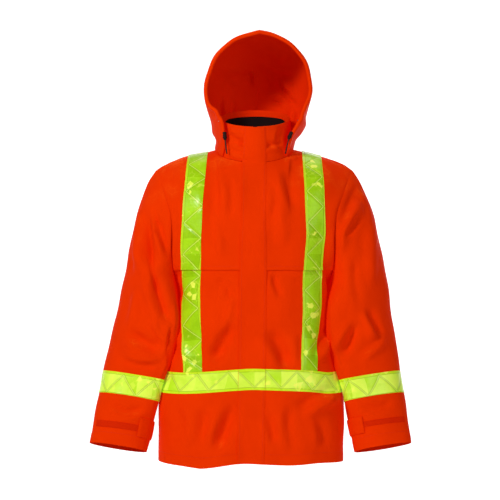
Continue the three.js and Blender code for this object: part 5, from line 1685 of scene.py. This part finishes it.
number = maths(zigzag, "MULTIPLY_ADD", cell, 2.0, beyond)
facet = node(zigzag, "ShaderNodeTexWhiteNoise", {"W": number}, noise_dimensions="1D")
zigzag.links.new(facet.outputs["Value"], end.inputs["Facet"])
weld = node(zigzag, "ShaderNodeMapRange", {0: in_metres, 1: 0.0005, 2: 0.0014, 3: 1.0, 4: 0.0})
# Painted shade: a dark line beside each weld and along each border's inner edge, with no real groove
# under it.
beside = node(zigzag, "ShaderNodeMapRange", {0: in_metres, 1: 0.0016, 2: 0.0030, 3: 1.0, 4: 0.0})
by_border = maths(zigzag, "ABSOLUTE", maths(zigzag, "SUBTRACT", from_edge, border))
rim = node(zigzag, "ShaderNodeMapRange", {0: by_border, 1: 0.0003, 2: 0.0009, 3: 1.0, 4: 0.0})
zigzag.links.new(maths(zigzag, "MAXIMUM", beside.outputs[0], rim.outputs[0]), end.inputs["PaintedGrooveShade"])
edge = node(zigzag, "ShaderNodeMapRange", {0: from_edge, 1: maths(zigzag, "SUBTRACT", border, 0.0006),
                                           2: maths(zigzag, "ADD", border, 0.0006), 3: 1.0, 4: 0.0})
inside = maths(zigzag, "SUBTRACT", 1.0, edge.outputs[0])
zigzag.links.new(maths(zigzag, "MULTIPLY", weld.outputs[0], inside), end.inputs["Weld"])
zigzag.links.new(edge.outputs[0], end.inputs["Border"])
hexagons = node(zigzag, "ShaderNodeTexVoronoi", {"Vector": uv, "Scale": 420.0, "Randomness": 0.15})
prism = maths(zigzag, "MULTIPLY", hexagons.outputs["Distance"], inside)
zigzag.links.new(prism, end.inputs["Prism"])
puff = node(zigzag, "ShaderNodeMapRange", {0: in_metres, 1: 0.0004, 2: 0.006, 3: 0.0, 4: 1.0},
            interpolation_type="SMOOTHSTEP")
zigzag.links.new(maths(zigzag, "MULTIPLY", puff.outputs[0], inside), end.inputs["Puff"])
print("weld lines about 1.5 mm wide")


# %% Tape material
# Chest and back strips take the dim tones, belts and sleeve bands the bright ones with more glints:
# painted lit and shaded copies of one vinyl.
PAINTED_DIM_TAPE_TONES = ((0.26, 0.50, 0.001), (0.40, 0.72, 0.006))
PAINTED_LIT_TAPE_TONES = ((0.46, 0.78, 0.010), (0.82, 1.0, 0.10))


def painted_glints(tree, colour, painted_light_share):
    """Painted highlights: small bright flecks mixed into the colour where stiff creases of the vinyl
    would catch the light.
    """
    creased = use(tree, stiff, Size=85.0)
    bright = node(tree, "ShaderNodeMapRange", {0: creased.outputs["Facet"], 1: 0.84, 2: 0.90, 3: 0.0,
                                               4: 0.8})
    line = maths(tree, "MULTIPLY", creased.outputs["Line"], 0.3)
    spots = use(tree, mottle, Size=19.0, Contrast=9.0).outputs["Mask"]
    few = node(tree, "ShaderNodeMapRange", {0: spots, 1: 0.80 - 0.45 * painted_light_share, 2: 1.0, 3: 0.0, 4: 0.9})
    share = maths(tree, "MULTIPLY", maths(tree, "MAXIMUM", bright.outputs[0], line), few.outputs[0])
    mixed = node(tree, "ShaderNodeMix", {0: share, 6: colour}, data_type="RGBA")
    mixed.inputs[7].default_value = (0.94, 1.0, 0.11, 1)
    return mixed.outputs[2]


def tape_material(name, width, painted_light_share):
    made, tree, shader = material(name)
    welds = use(tree, zigzag, Width=width, Border=0.0058)
    mask = use(tree, mottle, Size=34.0, Contrast=2.6).outputs["Mask"]
    mask = maths(tree, "MULTIPLY_ADD", welds.outputs["Facet"], 0.6, maths(tree, "MULTIPLY", mask, 0.4))
    body = tone(tree, mask, lerp(np.array(PAINTED_DIM_TAPE_TONES[0]), np.array(PAINTED_LIT_TAPE_TONES[0]), painted_light_share),
                lerp(np.array(PAINTED_DIM_TAPE_TONES[1]), np.array(PAINTED_LIT_TAPE_TONES[1]), painted_light_share))
    edged = node(tree, "ShaderNodeMix", {0: welds.outputs["Border"], 6: body}, data_type="RGBA")
    edged.inputs[7].default_value = (0.46 + 0.1 * painted_light_share, 0.70 + 0.1 * painted_light_share, 0.012, 1)
    # Painted shade mixed into the colour along the weld and border lines.
    painted_groove_shade = node(tree, "ShaderNodeMix", {0: maths(tree, "MULTIPLY", welds.outputs["PaintedGrooveShade"], 0.5),
                                        6: edged.outputs[2]}, data_type="RGBA")
    painted_groove_shade.inputs[7].default_value = (0.16, 0.30, 0.0, 1)
    lit = node(tree, "ShaderNodeMix", {0: maths(tree, "MULTIPLY", welds.outputs["Weld"], 0.7),
                                       6: painted_groove_shade.outputs[2]}, data_type="RGBA")
    lit.inputs[7].default_value = (0.74, 0.95, 0.12, 1)
    # Painted glints laid over the tape's colour.
    edged = painted_glints(tree, lit.outputs[2], painted_light_share)
    tree.links.new(edged, shader.inputs["Base Color"])
    # The tape's own colour as emission: a painted glow.
    tree.links.new(edged, shader.inputs["Emission Color"])
    shader.inputs["Emission Strength"].default_value = 0.10
    crease = use(tree, stiff, Size=85.0).outputs["Height"]
    normal = bump(tree, welds.outputs["Puff"], 0.5, 0.0012)
    normal = bump(tree, crease, 0.3, 0.0016, normal)
    normal = bump(tree, welds.outputs["Prism"], 0.15, 0.0003, normal)
    tree.links.new(normal, shader.inputs["Normal"])
    tree.links.new(maths(tree, "MULTIPLY_ADD", mask, 0.16, 0.20), shader.inputs["Roughness"])
    tree.links.new(maths(tree, "MULTIPLY_ADD", welds.outputs["Border"], -0.05, 0.13),
                   shader.inputs["Coat Weight"])
    shader.inputs["Coat Roughness"].default_value = 0.26
    shader.inputs["Specular IOR Level"].default_value = 0.2
    return made


tape_finishes = {}
for name, piece in pieces.items():
    if "tape" in name and name.split("_")[0] in ("tape", "waist", "sleeve"):
        layer = piece.data.uv_layers["UVMap"].data
        uv = np.empty(len(layer) * 2)
        layer.foreach_get("uv", uv)
        width = round(float(uv.reshape(-1, 2)[:, 0].max()) - 0.0005, 3)
        # Belts and sleeve bands get the painted lit copy.
        painted_light_share = 0 if name.startswith("tape") else 1
        kind = f"tape_vinyl_{width * 1000:.0f}_{'level' if painted_light_share else 'upright'}"
        if kind not in tape_finishes:
            tape_finishes[kind] = tape_material(kind, width, painted_light_share)
        piece.data.materials.append(tape_finishes[kind])
        piece.data.materials.append(tape_finishes[kind])
print("tape finishes:", sorted(tape_finishes))


# %% Hard parts and cord
def hard_material(name, colour, rough, metal, grain, gloss=0.5):
    made, tree, shader = material(name)
    shader.inputs["Specular IOR Level"].default_value = gloss
    mask = use(tree, mottle, Size=180.0, Contrast=1.4).outputs["Mask"]
    dark = tuple(c * 0.8 for c in colour)
    tree.links.new(tone(tree, mask, dark, colour), shader.inputs["Base Color"])
    tree.links.new(maths(tree, "MULTIPLY_ADD", mask, 0.12, rough), shader.inputs["Roughness"])
    shader.inputs["Metallic"].default_value = metal
    fine = use(tree, crumple, Size=900.0, Sharpness=0.2).outputs["Height"]
    tree.links.new(bump(tree, fine, grain, 0.0003), shader.inputs["Normal"])
    return made


lock_finish = hard_material("moulded_brown", (0.022, 0.005, 0.003), 0.55, 0.0, 0.3, 0.15)
zip_finish = hard_material("moulded_red", (0.55, 0.016, 0.004), 0.42, 0.0, 0.2)
eyelet_finish = hard_material("plated_ring", (0.42, 0.40, 0.38), 0.28, 1.0, 0.15)
cord_finish, tree, shader = material("braided_cord")
place = node(tree, "ShaderNodeTexCoord").outputs["Object"]
braid = node(tree, "ShaderNodeTexWave", {"Vector": place, "Scale": 420.0, "Distortion": 3.0},
             wave_type="BANDS", bands_direction="DIAGONAL")
tree.links.new(tone(tree, braid.outputs[1], (0.022, 0.010, 0.006), (0.070, 0.034, 0.022)),
               shader.inputs["Base Color"])
shader.inputs["Specular IOR Level"].default_value = 0.15
tree.links.new(bump(tree, braid.outputs[1], 0.6, 0.0003), shader.inputs["Normal"])
tree.links.new(maths(tree, "MULTIPLY_ADD", braid.outputs[1], 0.1, 0.7), shader.inputs["Roughness"])
print("hard finishes:", lock_finish.name, zip_finish.name, eyelet_finish.name)

# %% [markdown]
# ## Give each piece its finish
# Panels take the coated cloth outside and the plain weave inside. The hood's facing shows the
# coated side too, because the rim is folded back.

# %% Assign finishes
def dress(piece, *finishes):
    for finish in finishes:
        piece.data.materials.append(finish)


CLOTH_PIECES = ["back_panel", "back_yoke", "flap_cloth", "collar_cloth"] + [
    f"{part}_{word}" for part in ("front_panel", "yoke", "sleeve_cloth", "hood_cloth", "tab")
    for _, word in SIDES]
COATED_BOTH_WAYS = ("flap_cloth", "tab_right", "tab_left")
for name in CLOTH_PIECES:
    dress(pieces[name], shell_finish, shell_finish if name in COATED_BOTH_WAYS else inside_finish)
dress(pieces["nape_lining"], lining_finish, lining_finish)
dress(pieces["zip_tape"], strip_finish, strip_finish)
dress(pieces["zip_teeth"], zip_finish)
dress(pieces["stitches"], thread_finish)
for _, word in SIDES:
    dress(pieces[f"loop_tape_{word}"], strip_finish, strip_finish)
    dress(pieces[f"barrel_lock_{word}"], lock_finish)
    dress(pieces[f"eyelet_{word}"], eyelet_finish)
    dress(pieces[f"cord_end_{word}"], lock_finish)
    dress(cords[word], cord_finish)
bare = [name for name, piece in pieces.items() if not piece.data.materials]
print("pieces without a finish:", bare)

# %% Sheets
for name in CLOTH_PIECES + ["nape_lining"]:
    width, length, area = sizes[name]
    width, length = round(width, 3), round(length, 3)
    area = min(round(area, 4), round(width * length, 5))
print("declared sheets:", len(CLOTH_PIECES) + 1)

# %% [markdown]
# ## Studio
# The photograph has an even white surround. Its main light stands low on the left, so it runs
# under the hood's rim and lights only the right cheek inside. Wide lights on the right, above
# and behind fill the shadows. The floor lies where the wearer's feet would stand. Its rising
# part glows a little, so the surround stays white without more light on the cloth.

# %% Floor and light
FLOOR_Z = -1.46
floor_mesh = bpy.data.meshes.new("floor")
reach, depth = 9.0, 12.0
steps = [(-3.0, FLOOR_Z), (3.0, FLOOR_Z)]
steps += [(3.0 + 1.5 * math.sin(a), FLOOR_Z + 1.5 * (1 - math.cos(a)))
          for a in np.linspace(0, math.pi / 2, 12)[1:]] + [(4.5, 5.0)]
verts = [(x, y, z) for y, z in steps for x in (-reach, reach)]
faces = [(2 * i, 2 * i + 1, 2 * i + 3, 2 * i + 2) for i in range(len(steps) - 1)]
floor_mesh.from_pydata(verts, [], faces)
floor_mesh.shade_smooth()
floor = bpy.data.objects.new("studio_floor", floor_mesh)
bpy.context.scene.collection.objects.link(floor)
floor_finish, tree, shader = material("pale_floor")
mask = use(tree, mottle, Size=2.0, Contrast=0.6).outputs["Mask"]
tree.links.new(tone(tree, mask, (0.86, 0.86, 0.86), (0.90, 0.90, 0.90)), shader.inputs["Base Color"])
shader.inputs["Roughness"].default_value = 0.9
height = node(tree, "ShaderNodeSeparateXYZ", {0: node(tree, "ShaderNodeTexCoord").outputs["Object"]})
rise = node(tree, "ShaderNodeMapRange", {0: height.outputs[2], 1: FLOOR_Z, 2: FLOOR_Z + 0.1, 3: 0.05,
                                         4: 0.80}, interpolation_type="SMOOTHSTEP")
tree.links.new(rise.outputs[0], shader.inputs["Emission Strength"])
shader.inputs["Emission Color"].default_value = (1, 1, 1, 1)
dress(floor, floor_finish)


def soft_light(name, place, target, size, power):
    data = bpy.data.lights.new(name, "AREA")
    data.shape, data.size, data.size_y, data.energy = "RECTANGLE", size[0], size[1], power
    lamp = bpy.data.objects.new(name, data)
    lamp.location = place
    way = np.array(target, float) - np.array(place, float)
    flat = math.hypot(way[0], way[1])
    lamp.rotation_euler = (math.atan2(flat, -way[2]), 0, math.atan2(-way[0], way[1]))
    bpy.context.scene.collection.objects.link(lamp)


MIDDLE = (0, 0, -0.25)
soft_light("key_light", (-1.9, -2.5, 1.25), MIDDLE, (0.55, 0.45), 80)
soft_light("fill_light", (1.9, -2.9, 0.4), MIDDLE, (1.6, 2.0), 26)
soft_light("top_light", (0.3, 0.9, 2.9), MIDDLE, (2.0, 1.2), 30)
soft_light("back_light", (1.2, 3.0, 0.6), MIDDLE, (2.0, 2.0), 20)
world = bpy.data.worlds.new("studio_world")
world.use_nodes = True
world.node_tree.nodes["Background"].inputs[0].default_value = (1, 1, 1, 1)
world.node_tree.nodes["Background"].inputs[1].default_value = 0.10
bpy.context.scene.world = world
print("lights", len(bpy.data.lights))

# %% Sizes and end
bpy.context.view_layer.update()
triangles = sum(sum(len(p.vertices) - 2 for p in piece.data.polygons) for piece in pieces.values())
print("triangles in all", triangles)
